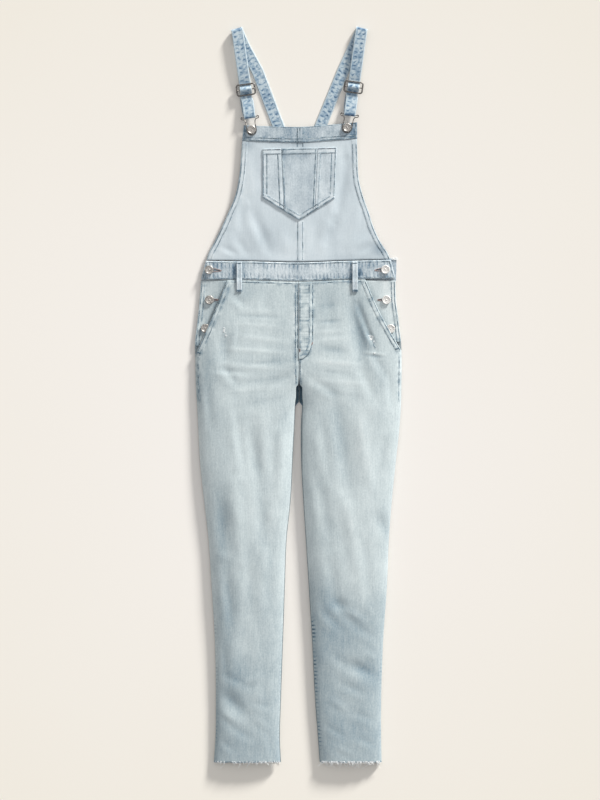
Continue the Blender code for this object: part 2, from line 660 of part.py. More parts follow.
def hook(plan):
    """The clip: a bar for the strap with an ear at each end, and a keyhole loop round the button."""
    across, upward = turned(plan.turn_front)
    bar = np.array([plan.x_bar, plan.y_bar, 0])
    to_button = np.array([plan.x_button, plan.y_button, 0]) - bar
    aside, reach = to_button @ across, -to_button @ upward
    keyhole = SHANK_RADIUS + WIRE + 0.5
    on_band = float(bib_height(np.array(plan.x_button), np.array(plan.y_button))) + BIB_BAND + 0.1 + GAP + WIRE
    half = [(12.8, 0.0, BAR_Z), (15.2, -1.2, BAR_Z), (16.6, 0.6, BAR_Z), (15.4, 3.0, BAR_Z),
            (12.2, 4.2, BAR_Z + 0.3), (10.2, 8.5, BAR_Z + 0.9), (8.6, 13.5, on_band), (6.2, reach - 6.0, on_band)]
    loop = [(keyhole * math.cos(a), reach + keyhole * math.sin(a), on_band)
            for a in np.radians(np.linspace(-35, 90, 6))]
    route = half + loop
    route += [(-w, d, z) for w, d, z in reversed(route[:-1])]
    places = []
    for w, down, height in route:
        shift = aside * max(down - 3, 0) / (reach - 3)
        places.append(bar + across * (w + shift) - upward * down + np.array([0, 0, height]))
    wire_curve("hook_" + plan.side, [(places, True)], WIRE)


def button(spec):
    """A riveted jeans button: a shank under a dished, rimmed cap, turned about its own axis."""
    angle = np.radians(np.arange(0, 360, 45))
    x = spec.x + SHANK_RADIUS * np.cos(angle)
    y = spec.y + SHANK_RADIUS * np.sin(angle)
    if spec.on == "waistband":
        surface_z = waistband_height(x).max() + BAND
    elif spec.on == "bib_band":
        surface_z = bib_height(x, y).max() + BIB_BAND
    else:
        slant = SLANTS[0] if spec.x < 0 else SLANTS[1]
        surface_z = facing_height(slant, x, y).max() + CLOTH
    shank = 2 * WIRE + 0.6 if spec.on == "bib_band" else 0.9
    cap = BUTTON_HEIGHT - 0.9
    profile = [(0, shank + cap - 0.9), (3.4, shank + cap - 0.9), (4.4, shank + cap - 0.2), (6.4, shank + cap),
               (BUTTON_RADIUS, shank + cap - 0.9), (BUTTON_RADIUS, shank + 0.2),
               (BUTTON_RADIUS - 0.8, shank), (SHANK_RADIUS, shank), (SHANK_RADIUS, 0), (0, 0)]
    mesh = bpy.data.meshes.new(spec.name)
    edges = [(k, k + 1) for k in range(len(profile) - 1)]
    mesh.from_pydata([(r * MM, 0, z * MM) for r, z in profile], edges, [])
    item = add_object(spec.name, mesh, "metal")
    item.location = in_frame((spec.x, spec.y, surface_z + GAP + 0.1))
    screw = item.modifiers.new("turn", "SCREW")
    screw.steps = 16
    screw.render_steps = 16
    screw.use_merge_vertices = True
    screw.merge_threshold = 0.00001
    screw.use_normal_calculate = False
    return item


def main():
    clear_scene()
    for name in ("dungarees", "cutters"):
        bpy.context.scene.collection.children.link(bpy.data.collections.new(name))
    for slant in SLANTS:
        leg_front(slant)
        leg_back(slant.side)
        hip_facing(slant)
        side_placket(slant)
    fly_placket()
    waistbands()
    front_bib()
    bib_band()
    back_bib()
    chest_pocket()
    belt_loops()
    for plan in STRAP_PLANS:
        strap(plan)
        slider(plan)
        hook(plan)
    for spec in BUTTONS:
        button(spec)


main()
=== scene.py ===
"""Washed denim dungarees, laid flat on a pale floor with the front up.

Every cloth piece is a thin closed shell on the form of its own solid: the same outline and height
formulas, with the creases, puckers and raised seams worked in. Sizes are in millimetres on the
pattern until metres() moves them into the shared frame.
"""
from __future__ import annotations

import logging
import math
from dataclasses import dataclass, field
from enum import Enum
from typing import Any, Callable, NamedTuple, Sequence

import bpy
import numpy as np
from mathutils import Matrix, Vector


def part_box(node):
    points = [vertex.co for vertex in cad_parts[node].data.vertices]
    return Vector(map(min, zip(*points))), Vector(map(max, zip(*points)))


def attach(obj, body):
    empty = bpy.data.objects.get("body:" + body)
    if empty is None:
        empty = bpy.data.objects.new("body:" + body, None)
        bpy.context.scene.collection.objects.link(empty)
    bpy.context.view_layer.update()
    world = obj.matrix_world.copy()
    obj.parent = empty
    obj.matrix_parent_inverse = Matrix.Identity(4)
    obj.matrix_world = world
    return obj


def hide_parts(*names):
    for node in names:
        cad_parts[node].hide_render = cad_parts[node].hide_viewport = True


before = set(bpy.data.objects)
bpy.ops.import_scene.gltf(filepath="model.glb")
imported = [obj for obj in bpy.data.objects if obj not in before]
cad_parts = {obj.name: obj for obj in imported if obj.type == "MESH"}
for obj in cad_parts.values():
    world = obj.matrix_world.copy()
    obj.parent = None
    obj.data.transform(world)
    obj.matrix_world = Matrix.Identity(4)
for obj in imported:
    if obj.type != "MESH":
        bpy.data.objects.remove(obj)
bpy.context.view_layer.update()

log = logging.getLogger("dungarees")
Array = np.ndarray
Height = Callable[[Array, Array], Array]
Place = tuple[float, float]
Socket = bpy.types.NodeSocket

MM = 0.001
ORIGIN_Y = 3.0       # the middle of the laid garment along Y, on the pattern
GAP = 0.3            # clear space between pieces that touch
LINE_STEP = 2.5      # between the places on a line of stitches
PRESSED = 0.6        # how much thinner a panel's outer edge is

# Cloth and trim, thickness unless the name says otherwise.
CLOTH = 1.4
BAND = 2.6
BACK_BAND = 2.2
BIB_BAND = 2.4
PLACKET = 1.1
STRAP = 1.8
STRAP_WIDTH = 23.0
POCKET = 1.2
FLY = 0.9
LOOP = 1.6
LOOP_WIDTH = 11.0
WIRE = 0.9
BUTTON_RADIUS = 8.6
SHANK_RADIUS = 3.0

# Heights of the garment above the floor.
SEAM_Z = 1.8 + CLOTH + GAP
BACK_EDGE_Z = 1.8
BACK_FLAT = 0.88
ARCH_POWER = 3.0
WAIST_CROWN = 4.3
WAIST_HALF = 190.0

# Where the pattern changes, along Y.
WAIST_Y = 223.0
BAND_CLEARANCE = 0.9
BIB_CLEARANCE = 1.8
CROTCH_Y = -12.0
FLAT_SEAT_Y = 72.0
HEM_Y = -714.2
SEAT = (CROTCH_Y - 25, FLAT_SEAT_Y)      # where the two legs become one seat
KNEE = (-470, -400)                      # above it the creases are deeper

# How strongly each kind of mark acts on the dye, and then on the cloth's height in millimetres. A crease's darkening is
# painted shade in its trough, lighter on a ridge.
TONE_DYE = 1.15
WHISKER_DYE = 1.35
CREASE_SHADE = 0.055
WHISKER_LIFT = 3.0
CREASE_LIFT = 0.65
CREASE_LIFT_ABOVE_KNEE = 0.6             # added to that
UNEVENNESS = ((0.9, 42, 60, 11), (0.45, 17, 26, 12))     # amount, pitch across and along, seed


class Side(Enum):
    """The wearer's right or left; the value is the sign of x there."""
    RIGHT = -1
    LEFT = 1

    @property
    def letter(self) -> str:
        """The side's letter in the names of pieces."""
        return self.name[0].lower()

    def pick(self, pair: Sequence[Any]) -> Any:
        """This side's one of a pair that is given right, then left."""
        return pair[self is Side.LEFT]


class Section(NamedTuple):
    """The legs at one height: their four edges and how high the front stands."""
    y: float
    right_side: float
    right_inseam: float
    left_inseam: float
    left_side: float
    crown: float


class Fold(NamedTuple):
    """A soft trough from one place to another; a negative depth is a ridge."""
    x: float
    y: float
    x_end: float
    y_end: float
    depth: float
    half_width: float


class BibRow(NamedTuple):
    """The bib at one height: its edges and the height of its underside."""
    y: float
    right: float
    left: float
    edge_z: float
    crown: float


class Edge(NamedTuple):
    """A place on an edge that runs across the garment."""
    x: float
    y: float


class Slant(NamedTuple):
    """A slanted hip pocket mouth; bow is how far its middle lies inside the straight line."""
    side: Side
    x_top: float
    y_top: float
    y_foot: float
    bow: float


class Tone(NamedTuple):
    """A soft oval where the wash is deeper (positive) or faded (negative)."""
    x: float
    y: float
    reach_x: float
    reach_y: float
    amount: float


LEG_SECTIONS = [Section(*row) for row in (
    (WAIST_Y, -190, -1, -1, 189, 9.5), (186, -193, -1, -1, 190, 11.5), (147, -197, -1, -1, 195, 13.5),
    (108, -201.5, -1, -1, 199.5, 15.0), (69, -201, 0, 0, 201, 16.5), (19, -200, 0, 2, 200.5, 18.0),
    (CROTCH_Y, -198, -5, 7, 200, 19.0), (-48, -196, -7, 5, 198, 20.0), (-126, -192, -11, 5, 190, 21.0),
    (-204, -184, -15, 9, 182, 21.0), (-282, -175, -23, 14, 176, 20.0), (-360, -170, -26, 19, 173, 19.5),
    (-477, -163, -30, 26, 165, 18.0), (-594, -161, -34, 32, 161, 16.5), (-672, -162, -36, 38, 161, 15.5),
    (HEM_Y, -165, -34, 41, 162, 14.5),
)]
LARGE_FOLDS = [Fold(*row) for row in (
    (-95, -55, -73, -180, 3.5, 16), (-73, -180, -67, -285, 3.0, 14), (-152, -190, -148, -295, 3.0, 13),
    (-145, -580, -108, -618, 3.0, 14), (104, 190, 128, 55, 3.5, 15), (-145, 120, -143, 62, 2.5, 12),
    (75, -15, 100, -195, 3.5, 16), (155, -235, 178, -272, 2.5, 12), (70, -398, 92, -418, 2.5, 12),
    (97, -520, 147, -545, 3.0, 13),
)]
BIB_ROWS = [BibRow(*row) for row in (
    (262, -180, 180, 4.7, 8.5), (278, -175, 173, 5.4, 8.2), (293, -167, 163, 5.9, 8.0), (325, -151, 147, 6.2, 7.8),
    (356, -137, 137, 6.3, 7.6), (387, -124, 126, 6.3, 7.4), (418, -117, 118, 6.3, 7.2), (465, -112, 115, 6.2, 7.0),
    (495, -110, 114, 6.1, 6.9), (530, -107, 114, 6.0, 6.8),
)]
BACK_BIB_ROWS = [BibRow(*row) for row in (
    (262, -169, 171, 0, 0), (313, -126, 128, 0, 0), (356, -95, 97, 0, 0), (401, -69, 71, 0, 0), (440, -50, 52, 0, 0),
    (471, -38, 40, 0, 0),
)]
WAISTBAND_TOP = [Edge(-181, 262), Edge(-90, 261), Edge(1, 259), Edge(90, 262), Edge(180, 264)]
WAISTBAND_FOOT = [Edge(-190, 226), Edge(-95, 225), Edge(1, 222.5), Edge(95, 226), Edge(189, 228)]
BIB_BAND_TOP = [Edge(-106.5, 526), Edge(-50, 524), Edge(1, 523), Edge(60, 527), Edge(114, 532)]
BIB_BAND_FOOT = [Edge(-110, 496), Edge(-50, 493.5), Edge(1, 492.5), Edge(60, 496), Edge(114, 500)]
BACK_BAND_FOOT = [Edge(-189, WAIST_Y), Edge(0, WAIST_Y), Edge(190, WAIST_Y)]
BACK_BAND_TOP = [Edge(-180, 262), Edge(0, 262), Edge(191, 267.5)]
SLANTS = {Side.RIGHT: Slant(Side.RIGHT, -140.5, 222, 79, 2.0), Side.LEFT: Slant(Side.LEFT, 131.0, 224, 87, -4.5)}
POCKET_GAPE = 5.4
FACING_LAP = 12.0
FACING_FOOT = 17.0
PLACKET_INSET = 13.0
PLACKET_WIDTH = 27.0

# Smaller creases of the cloth, on top of the large folds: thighs, knees and calves, hips, then the bib.
CREASES = [Fold(*row) for row in (
    (-120, -30, -104, -150, 1.1, 9), (-48, -40, -56, -210, 1.0, 11), (-30, -70, -36, -190, -0.8, 9),
    (-125, -170, -112, -320, -1.2, 12), (-96, -300, -92, -420, 0.9, 12), (-50, -250, -58, -420, 0.8, 10),
    (-140, -330, -128, -470, 1.2, 10), (-118, -440, -132, -540, -0.9, 11), (-70, -470, -64, -640, 0.7, 10),
    (-150, -480, -138, -560, 1.0, 8), (-150, -540, -96, -566, 0.9, 8), (-156, -612, -120, -634, -1.0, 7),
    (-140, -640, -88, -668, 0.8, 8), (-92, -596, -52, -606, 0.6, 7), (-60, -660, -48, -706, 0.6, 7),
    (-110, -560, -74, -548, -0.6, 7), (-154, -668, -126, -690, 0.7, 7), (-84, -628, -56, -650, -0.6, 7),
    (46, -40, 60, -160, 0.9, 10), (118, -30, 134, -160, -1.1, 12), (40, -150, 62, -290, 1.2, 12),
    (92, -200, 112, -330, -1.0, 12), (60, -300, 72, -400, 1.0, 11), (128, -280, 140, -400, 0.8, 11),
    (168, -90, 150, -170, 1.0, 9), (90, -416, 130, -440, -0.9, 8), (50, -420, 84, -456, 0.9, 9),
    (110, -450, 150, -470, 0.8, 8), (64, -500, 100, -534, 0.8, 9), (128, -500, 156, -516, -0.7, 7),
    (84, -560, 132, -580, 0.9, 8), (60, -590, 96, -612, -0.7, 7), (100, -612, 152, -634, 0.8, 8),
    (52, -640, 92, -664, 0.7, 7), (114, -664, 150, -682, 0.7, 7), (72, -682, 108, -700, -0.5, 6),
    (-150, 60, -118, 22, 0.8, 8), (-165, 50, -100, 44, 0.5, 5), (-128, 196, -104, 176, 0.6, 7),
    (-60, 205, -66, 160, 0.5, 9), (62, 200, 58, 150, 0.6, 9), (-112, 136, -120, 96, 0.6, 6),
    (116, 178, 148, 92, 1.3, 5.5), (136, 122, 146, 104, 1.0, 4), (140, 92, 168, 40, 0.8, 8),
    (118, 60, 150, -10, 0.7, 9), (176, 40, 182, -20, 0.8, 7), (-176, 20, -170, -60, 0.7, 8),
    (-20, 40, -70, 8, 0.5, 8), (22, 36, 76, 0, 0.6, 8), (-14, -20, -40, -60, 0.7, 8), (-108, 374, -112, 318, 0.8, 9),
    (-90, 360, -52, 274, 1.1, 10), (-124, 316, -96, 268, 0.6, 8), (97, 456, 72, 340, 1.4, 9),
    (72, 340, 56, 300, 1.2, 9), (120, 360, 100, 296, -0.5, 10), (150, 300, 116, 276, 0.7, 8),
    (-96, 470, -92, 400, -0.4, 10), (36, 330, 28, 276, 0.4, 9), (-30, 320, -22, 272, -0.4, 9),
    (-150, 290, -118, 274, 0.5, 6), (92, 486, 84, 440, 0.5, 7),
)]

# Lines across the hips where wearing has faded or kept the dye, as folds whose depth is the change of wash.
WHISKERS = [Fold(*row) for row in (
    (-22, 104, -118, 116, -0.10, 5), (-20, 82, -150, 92, -0.13, 5), (-18, 68, -112, 60, 0.10, 4.5),
    (-22, 50, -156, 62, -0.12, 5.5), (-20, 36, -116, 24, 0.10, 5), (-26, 18, -140, 8, -0.09, 6),
    (-34, 152, -118, 155, 0.12, 3.6), (-40, 134, -124, 140, -0.07, 4), (-44, 164, -96, 166, -0.06, 4),
    (-30, -4, -110, -20, 0.07, 7), (36, 142, 82, 146, 0.14, 3.6), (30, 122, 86, 126, -0.09, 4.5),
    (34, 106, 96, 112, -0.08, 4), (44, 92, 92, 86, 0.20, 8), (28, 68, 118, 60, -0.12, 5.5),
    (30, 50, 106, 40, 0.09, 5), (24, 30, 140, 22, -0.10, 6), (32, 10, 120, -4, 0.07, 6), (30, 174, 90, 176, 0.06, 5),
    (128, 84, 168, 80, -0.16, 2.4), (130, 78, 166, 74, 0.14, 2.4),
)]

# Broad changes of the wash on the legs and hips, then the bib.
TONES = [Tone(*row) for row in (
    (-85, -110, 46, 120, -0.10), (-60, -230, 34, 90, -0.06), (-150, -250, 20, 110, 0.16), (-140, -420, 22, 90, 0.16),
    (-118, -545, 26, 34, 0.16), (-90, -470, 26, 70, -0.08), (-60, -330, 18, 90, 0.05), (-75, -420, 20, 60, 0.08),
    (-110, -620, 30, 26, -0.06), (-100, -690, 50, 22, 0.06), (-178, 40, 16, 70, 0.18), (-40, 70, 26, 34, 0.10),
    (-80, 130, 40, 44, -0.05), (-110, 200, 26, 22, 0.14), (-30, -40, 14, 60, 0.06), (120, -100, 34, 130, -0.08),
    (70, -60, 14, 90, 0.10), (96, -250, 26, 60, -0.05), (118, -360, 34, 46, -0.12), (168, -250, 12, 40, 0.14),
    (55, -400, 18, 50, 0.14), (90, -450, 40, 40, 0.12), (100, -520, 26, 36, -0.08), (140, -560, 24, 40, 0.10),
    (70, -600, 24, 60, 0.08), (110, -650, 50, 40, 0.07), (122, 150, 17, 60, 0.17), (136, 110, 16, 30, 0.14),
    (150, 60, 20, 40, 0.12), (60, 190, 30, 24, 0.10), (160, 20, 18, 50, 0.06), (52, 60, 26, 20, -0.07),
    (88, 20, 34, 40, -0.08), (-60, 470, 30, 40, 0.08), (-120, 300, 40, 30, 0.05), (-62, 300, 26, 30, 0.14),
    (60, 310, 26, 50, 0.07), (130, 300, 30, 40, 0.10), (158, 284, 15, 14, 0.42), (92, 430, 20, 60, 0.08),
    (-100, 486, 12, 10, 0.30), (0, 488, 30, 6, 0.20), (-30, 420, 60, 60, -0.02), (110, 480, 10, 20, 0.16),
    (-108, 400, 14, 60, -0.06), (20, 300, 30, 40, -0.06), (-100, 268, 60, 6, 0.08), (90, 270, 60, 6, 0.10),
)]

# The wash down the right and left leg, at heights from the waist to the hem: 0 is faded, 1 is deep. Its darkening
# towards the hem is partly deeper dye and partly painted shade.
WASH_HEIGHTS = (223, 180, 120, 60, 0, -120, -250, -330, -400, -500, -600, -714)
LEG_WASH = (
    (0.42, 0.39, 0.39, 0.39, 0.38, 0.37, 0.38, 0.38, 0.41, 0.52, 0.57, 0.61),
    (0.43, 0.41, 0.39, 0.36, 0.35, 0.32, 0.34, 0.38, 0.52, 0.61, 0.58, 0.61),
)


# ---------------------------------------------------------------- curves and noise

def metres(places: Array) -> Array:
    """Move places from the pattern, in millimetres, into the shared frame, in metres.

    Args:
        places: x, y, z in the last axis.

    Returns:
        The same places less the pattern's middle, in metres.
    """
    return (np.asarray(places, float) - (0, ORIGIN_Y, 0)) * MM


def smooth(keys: Sequence[float], values: Sequence[float], at: Array) -> Array:
    """Read a smooth curve: cubic Hermite, with each slope taken from its neighbours.

    Args:
        keys: where the curve is given.
        values: what it is there.
        at: where to read it; beyond the ends it keeps the end's value.

    Returns:
        The curve's values at those places.
    """
    order = np.argsort(keys)
    keys = np.asarray(keys, float)[order]
    values = np.asarray(values, float)[order]
    slopes = np.gradient(values, keys)
    at = np.clip(np.asarray(at, float), keys[0], keys[-1])
    cell = np.clip(np.searchsorted(keys, at) - 1, 0, len(keys) - 2)
    span = keys[cell + 1] - keys[cell]
    t = (at - keys[cell]) / span
    return (values[cell] * (1 + 2 * t) * (1 - t) ** 2 + values[cell + 1] * t * t * (3 - 2 * t)
            + slopes[cell] * span * t * (1 - t) ** 2 - slopes[cell + 1] * span * t * t * (1 - t))


def column(rows: Sequence[NamedTuple], name: str, at: Array) -> Array:
    """One named column of a table, read smoothly at the given heights."""
    return smooth([row.y for row in rows], [getattr(row, name) for row in rows], at)


def edge_y(edge: Sequence[Edge], x: Array) -> Array:
    """The height of an edge that runs across the garment, at the given x."""
    return smooth([p.x for p in edge], [p.y for p in edge], x)


def ease(low: float, high: float, at: Array) -> Array:
    """0 below low, 1 above high, smooth between: 3t² - 2t³."""
    t = np.clip((np.asarray(at, float) - low) / (high - low), 0, 1)
    return t * t * (3 - 2 * t)


def blend(start: Array, end: Array, share: Array) -> Array:
    """The value that lies the given share of the way from start to end."""
    return start + (end - start) * share


def window(low: float, high: float, soft: float, at: Array) -> Array:
    """1 between low and high, 0 outside, eased over twice the soft distance at each end."""
    return ease(low - soft, low + soft, at) * (1 - ease(high - soft, high + soft, at))


def bell(distance: Array, reach: float) -> Array:
    """1 at no distance, falling off as e to the minus (distance / reach) squared."""
    return np.exp(-(distance / reach) ** 2)


def noise(x: Array, y: Array, pitch_x: float, pitch_y: float, seed: int) -> Array:
    """Smooth value noise from 0 to 1: seeded numbers on a lattice, eased between its corners.

    Args:
        x: places across, up to 300 mm from the middle.
        y: places along, up to 900 mm from the middle.
        pitch_x: lattice spacing across.
        pitch_y: lattice spacing along.
        seed: which pattern.

    Returns:
        The noise at those places.
    """
    wide, tall = int(640 / pitch_x) + 3, int(1900 / pitch_y) + 3
    lattice = np.random.default_rng(seed).random((tall, wide))
    a, b = np.broadcast_arrays((np.asarray(x, float) + 310) / pitch_x, (np.asarray(y, float) + 930) / pitch_y)
    i = np.clip(np.floor(a).astype(int), 0, wide - 2)
    j = np.clip(np.floor(b).astype(int), 0, tall - 2)
    s, t = ease(0, 1, a - i), ease(0, 1, b - j)
    low = lattice[j, i] * (1 - s) + lattice[j, i + 1] * s
    high = lattice[j + 1, i] * (1 - s) + lattice[j + 1, i + 1] * s
    return low * (1 - t) + high * t


def blotch(x: Array, y: Array, pitch_x: float, pitch_y: float, seed: int) -> Array:
    """The same noise pushed towards 0 and 1, for marks with a clearer edge."""
    return ease(0.26, 0.74, noise(x, y, pitch_x, pitch_y, seed))


def ticks(along: Array, aside: Array, pitch: float, seed: int) -> Array:
    """Short marks side by side, as where a seam draws its cloth into small folds.

    The positive half of a cosine, squared, whose phase wanders by noise three pitches long, times a
    strength of its own for each mark.

    Args:
        along: distance along the row.
        aside: distance across it.
        pitch: from mark to mark.
        seed: which wandering.

    Returns:
        From 0 to 1.
    """
    phase = along / pitch + 0.8 * noise(along, aside, 3 * pitch, 60, seed)
    return np.clip(np.cos(2 * math.pi * phase), 0, 1) ** 2 * (0.35 + 0.65 * noise(along, aside, pitch, 14, seed + 1))


def trough(fold: Fold, x: Array, y: Array) -> tuple[Array, Array]:
    """How strongly a fold acts at each place, and how far to its side the place is.

    Args:
        fold: the line that it follows.
        x: places across.
        y: places along.

    Returns:
        The fading along the fold, 0.35 at its ends and 1 in its middle, and the signed distance
        from it, which is never smaller than the distance to its nearest point.
    """
    run = np.array([fold.x_end - fold.x, fold.y_end - fold.y], float)
    length = math.hypot(*run)
    along = ((x - fold.x) * run[0] + (y - fold.y) * run[1]) / length ** 2
    nearest = np.clip(along, 0, 1)
    away = np.hypot(x - fold.x - nearest * run[0], y - fold.y - nearest * run[1])
    hand = np.sign((x - fold.x) * run[1] - (y - fold.y) * run[0])
    return 0.35 + 0.65 * np.sin(math.pi * nearest), away * hand


def relief(x: Array, y: Array) -> Array:
    """How the smaller creases and the cloth's unevenness lift the cloth, in millimetres.

    Each crease is a bell-shaped trough with a lower ridge beside it, which is how a fold pushes its
    cloth to one side. The unevenness is two layers of noise, of 42 and 17 mm.

    Args:
        x: places across.
        y: places along.

    Returns:
        The lift, which is negative in a trough.
    """
    lift = sum(amount * (noise(x, y, *layer) - 0.5) for amount, *layer in UNEVENNESS)
    strength = CREASE_LIFT + CREASE_LIFT_ABOVE_KNEE * ease(*KNEE, y)
    for crease in CREASES:
        fade, aside = trough(crease, x, y)
        lift = lift - strength * crease.depth * fade * (bell(aside, crease.half_width)
                                             - 0.5 * bell(aside - 1.7 * crease.half_width, crease.half_width))
    for whisker in WHISKERS:
        fade, aside = trough(whisker, x, y)
        lift = lift - WHISKER_LIFT * whisker.depth * fade * bell(aside, whisker.half_width)
    return lift


def patches(spots: Sequence[Tone], x: Array, y: Array) -> Array:
    """The sum of some soft ovals: each one's amount times a bell across and a bell along.

    Args:
        spots: the ovals.
        x: places across.
        y: places along.

    Returns:
        The change of wash.
    """
    change = np.zeros(np.broadcast(x, y).shape)
    for spot in spots:
        oval = np.exp(-((x - spot.x) / spot.reach_x) ** 2 - ((y - spot.y) / spot.reach_y) ** 2)
        change = change + spot.amount * oval
    return change


def tones(x: Array, y: Array) -> Array:
    """The change of wash from the broad patches, the whiskers, and painted shade on the floor of each crease.

    Args:
        x: places across.
        y: places along.

    Returns:
        The change, which is positive where it is darker: deeper dye, and painted shade in a crease.
    """
    change = TONE_DYE * patches(TONES, x, y)
    for whisker in WHISKERS:
        fade, aside = trough(whisker, x, y)
        change = change + WHISKER_DYE * whisker.depth * fade * bell(aside, whisker.half_width)
    for crease in CREASES + LARGE_FOLDS:
        fade, aside = trough(crease, x, y)
        # painted shade in each crease's trough; a ridge, of negative depth, is painted lighter
        change = change + CREASE_SHADE * crease.depth * fade * bell(aside, 0.8 * crease.half_width)
    return change


# ---------------------------------------------------------------- the garment's heights

def leg_edges(side: Side, y: Array) -> tuple[Array, Array]:
    """The side seam and the inseam of one leg, at the given heights on the body."""
    return tuple(column(LEG_SECTIONS, side.name.lower() + edge, y) for edge in ("_side", "_inseam"))


def across_leg(side: Side, x: Array, y: Array) -> Array:
    """Place across a leg: 1 at the side seam, -1 at the inseam, 0 in the middle."""
    outer, inner = leg_edges(side, y)
    return np.clip((x - (outer + inner) / 2) / ((outer - inner) / 2), -1, 1)


def leg_height(side: Side, x: Array, y: Array) -> Array:
    """Underside of the front of a leg.

    An arch of the third power between its seams, flat across the seat, less the large folds, plus
    the small relief, which fades out at the seams so that the layers stay apart.

    Args:
        side: which leg.
        x: places across.
        y: places along.

    Returns:
        The height above the floor.
    """
    across = across_leg(side, x, y)
    arch = np.sqrt(1 - np.abs(across) ** ARCH_POWER)
    shared = ease(*SEAT, y) * (across < 0)
    arch = arch + (1 - arch) * shared
    folds = np.zeros(np.broadcast(x, y).shape)
    for fold in LARGE_FOLDS:
        fade, aside = trough(fold, x, y)
        folds = folds + fold.depth * fade * bell(aside, fold.half_width)
    lift = column(LEG_SECTIONS, "crown", y) - SEAM_Z
    outer, inner = leg_edges(side, y)
    near_seam = np.minimum(np.abs(x - outer), np.where(shared > 0.5, 99, np.abs(x - inner)))
    return SEAM_Z + (lift - folds) * arch + relief(x, y) * ease(0, 22, near_seam)


def back_height(side: Side, x: Array, y: Array) -> Array:
    """Underside of the back of a leg: flat on the floor, turned up at its seams by a square.

    Args:
        side: which leg.
        x: places across.
        y: places along.

    Returns:
        The height above the floor.
    """
    across = across_leg(side, x, y)
    turn_up = np.clip((np.abs(across) - BACK_FLAT) / (1 - BACK_FLAT), 0, 1) ** 2
    shared = ease(*SEAT, y) * (across < 0)
    return BACK_EDGE_Z * turn_up * (1 - shared)


def slant_x(slant: Slant, y: Array) -> Array:
    """The pocket mouth's edge: a straight line from side seam to waistband, bowed by half a sine.

    Args:
        slant: the pocket mouth.
        y: heights on the body.

    Returns:
        The edge's x at those heights.
    """
    foot_x = leg_edges(slant.side, slant.y_foot)[0]
    t = (y - slant.y_foot) / (slant.y_top - slant.y_foot)
    return foot_x + (slant.x_top - foot_x) * t + slant.bow * np.sin(math.pi * np.clip(t, 0, 1))


def facing_height(slant: Slant, x: Array, y: Array) -> Array:
    """Underside of the hip facing: from the side seam's height to just under the pocket mouth.

    Args:
        slant: the pocket mouth.
        x: places across.
        y: places along.

    Returns:
        The height above the floor.
    """
    side_x = leg_edges(slant.side, y)[0]
    mouth_x = slant_x(slant, y)
    t = np.clip((y - slant.y_foot) / (slant.y_top - slant.y_foot), 0, 1)
    drop = CLOTH + GAP + POCKET_GAPE * np.sin(math.pi * t)
    share = (x - side_x) / (mouth_x - side_x)
    at_mouth = leg_height(slant.side, mouth_x, y) - drop
    beyond = leg_height(slant.side, x, y) - drop
    return np.where(share < 1, SEAM_Z + (at_mouth - SEAM_Z) * np.clip(share, 0, 1), beyond)


def bib_edges(rows: Sequence[BibRow], y: Array) -> tuple[Array, Array]:
    """The right and the left edge of the bib or the back panel, at the given heights on the body."""
    return column(rows, "right", y), column(rows, "left", y)


def bib_height(x: Array, y: Array) -> Array:
    """Underside of the bib: a shallow arch over the straps and the back, with the small relief.

    Args:
        x: places across.
        y: places along.

    Returns:
        The height above the floor.
    """
    right, left = bib_edges(BIB_ROWS, y)
    across = np.clip((x - (right + left) / 2) / ((left - right) / 2), -1, 1)
    edge = column(BIB_ROWS, "edge_z", y)
    arch = edge + (column(BIB_ROWS, "crown", y) - edge) * np.sqrt(1 - np.abs(across) ** ARCH_POWER)
    inside = ease(0, 25, np.minimum(x - right, left - x)) * ease(258, 282, y) * (1 - ease(478, 494, y))
    return arch + relief(x, y) * inside


def waistband_height(x: Array, y: Array) -> Array:
    """Underside of the front waistband, lowest at its ends, drawn up between its two seams.

    The puckers are noise 8 mm apart along the band, strongest at the stitched edges.

    Args:
        x: places across.
        y: places along.

    Returns:
        The height above the floor.
    """
    across = np.clip(np.abs(x) / WAIST_HALF, 0, 1)
    foot, top = edge_y(WAISTBAND_FOOT, x), edge_y(WAISTBAND_TOP, x)
    from_edge = np.minimum(y - foot, top - y)
    pucker = (noise(x, y, 8, 30, 21) - 0.5) * (0.35 + 0.35 * bell(from_edge - 5, 5)) \
        - 0.5 * ticks(x, y, 7.4, 104) * bell(from_edge - 6, 6)
    return SEAM_Z + WAIST_CROWN * np.sqrt(1 - across ** ARCH_POWER) + pucker * ease(0, 3, from_edge) + 0.15


# ---------------------------------------------------------------- meshes

class Slot(Enum):
    """The record's material slots."""
    DENIM = "denim"
    BAND = "denim_band"
    POCKET = "denim_pocket"
    STRAP = "denim_strap"
    WIRE = "nickel_wire"
    BUTTON = "nickel_button"


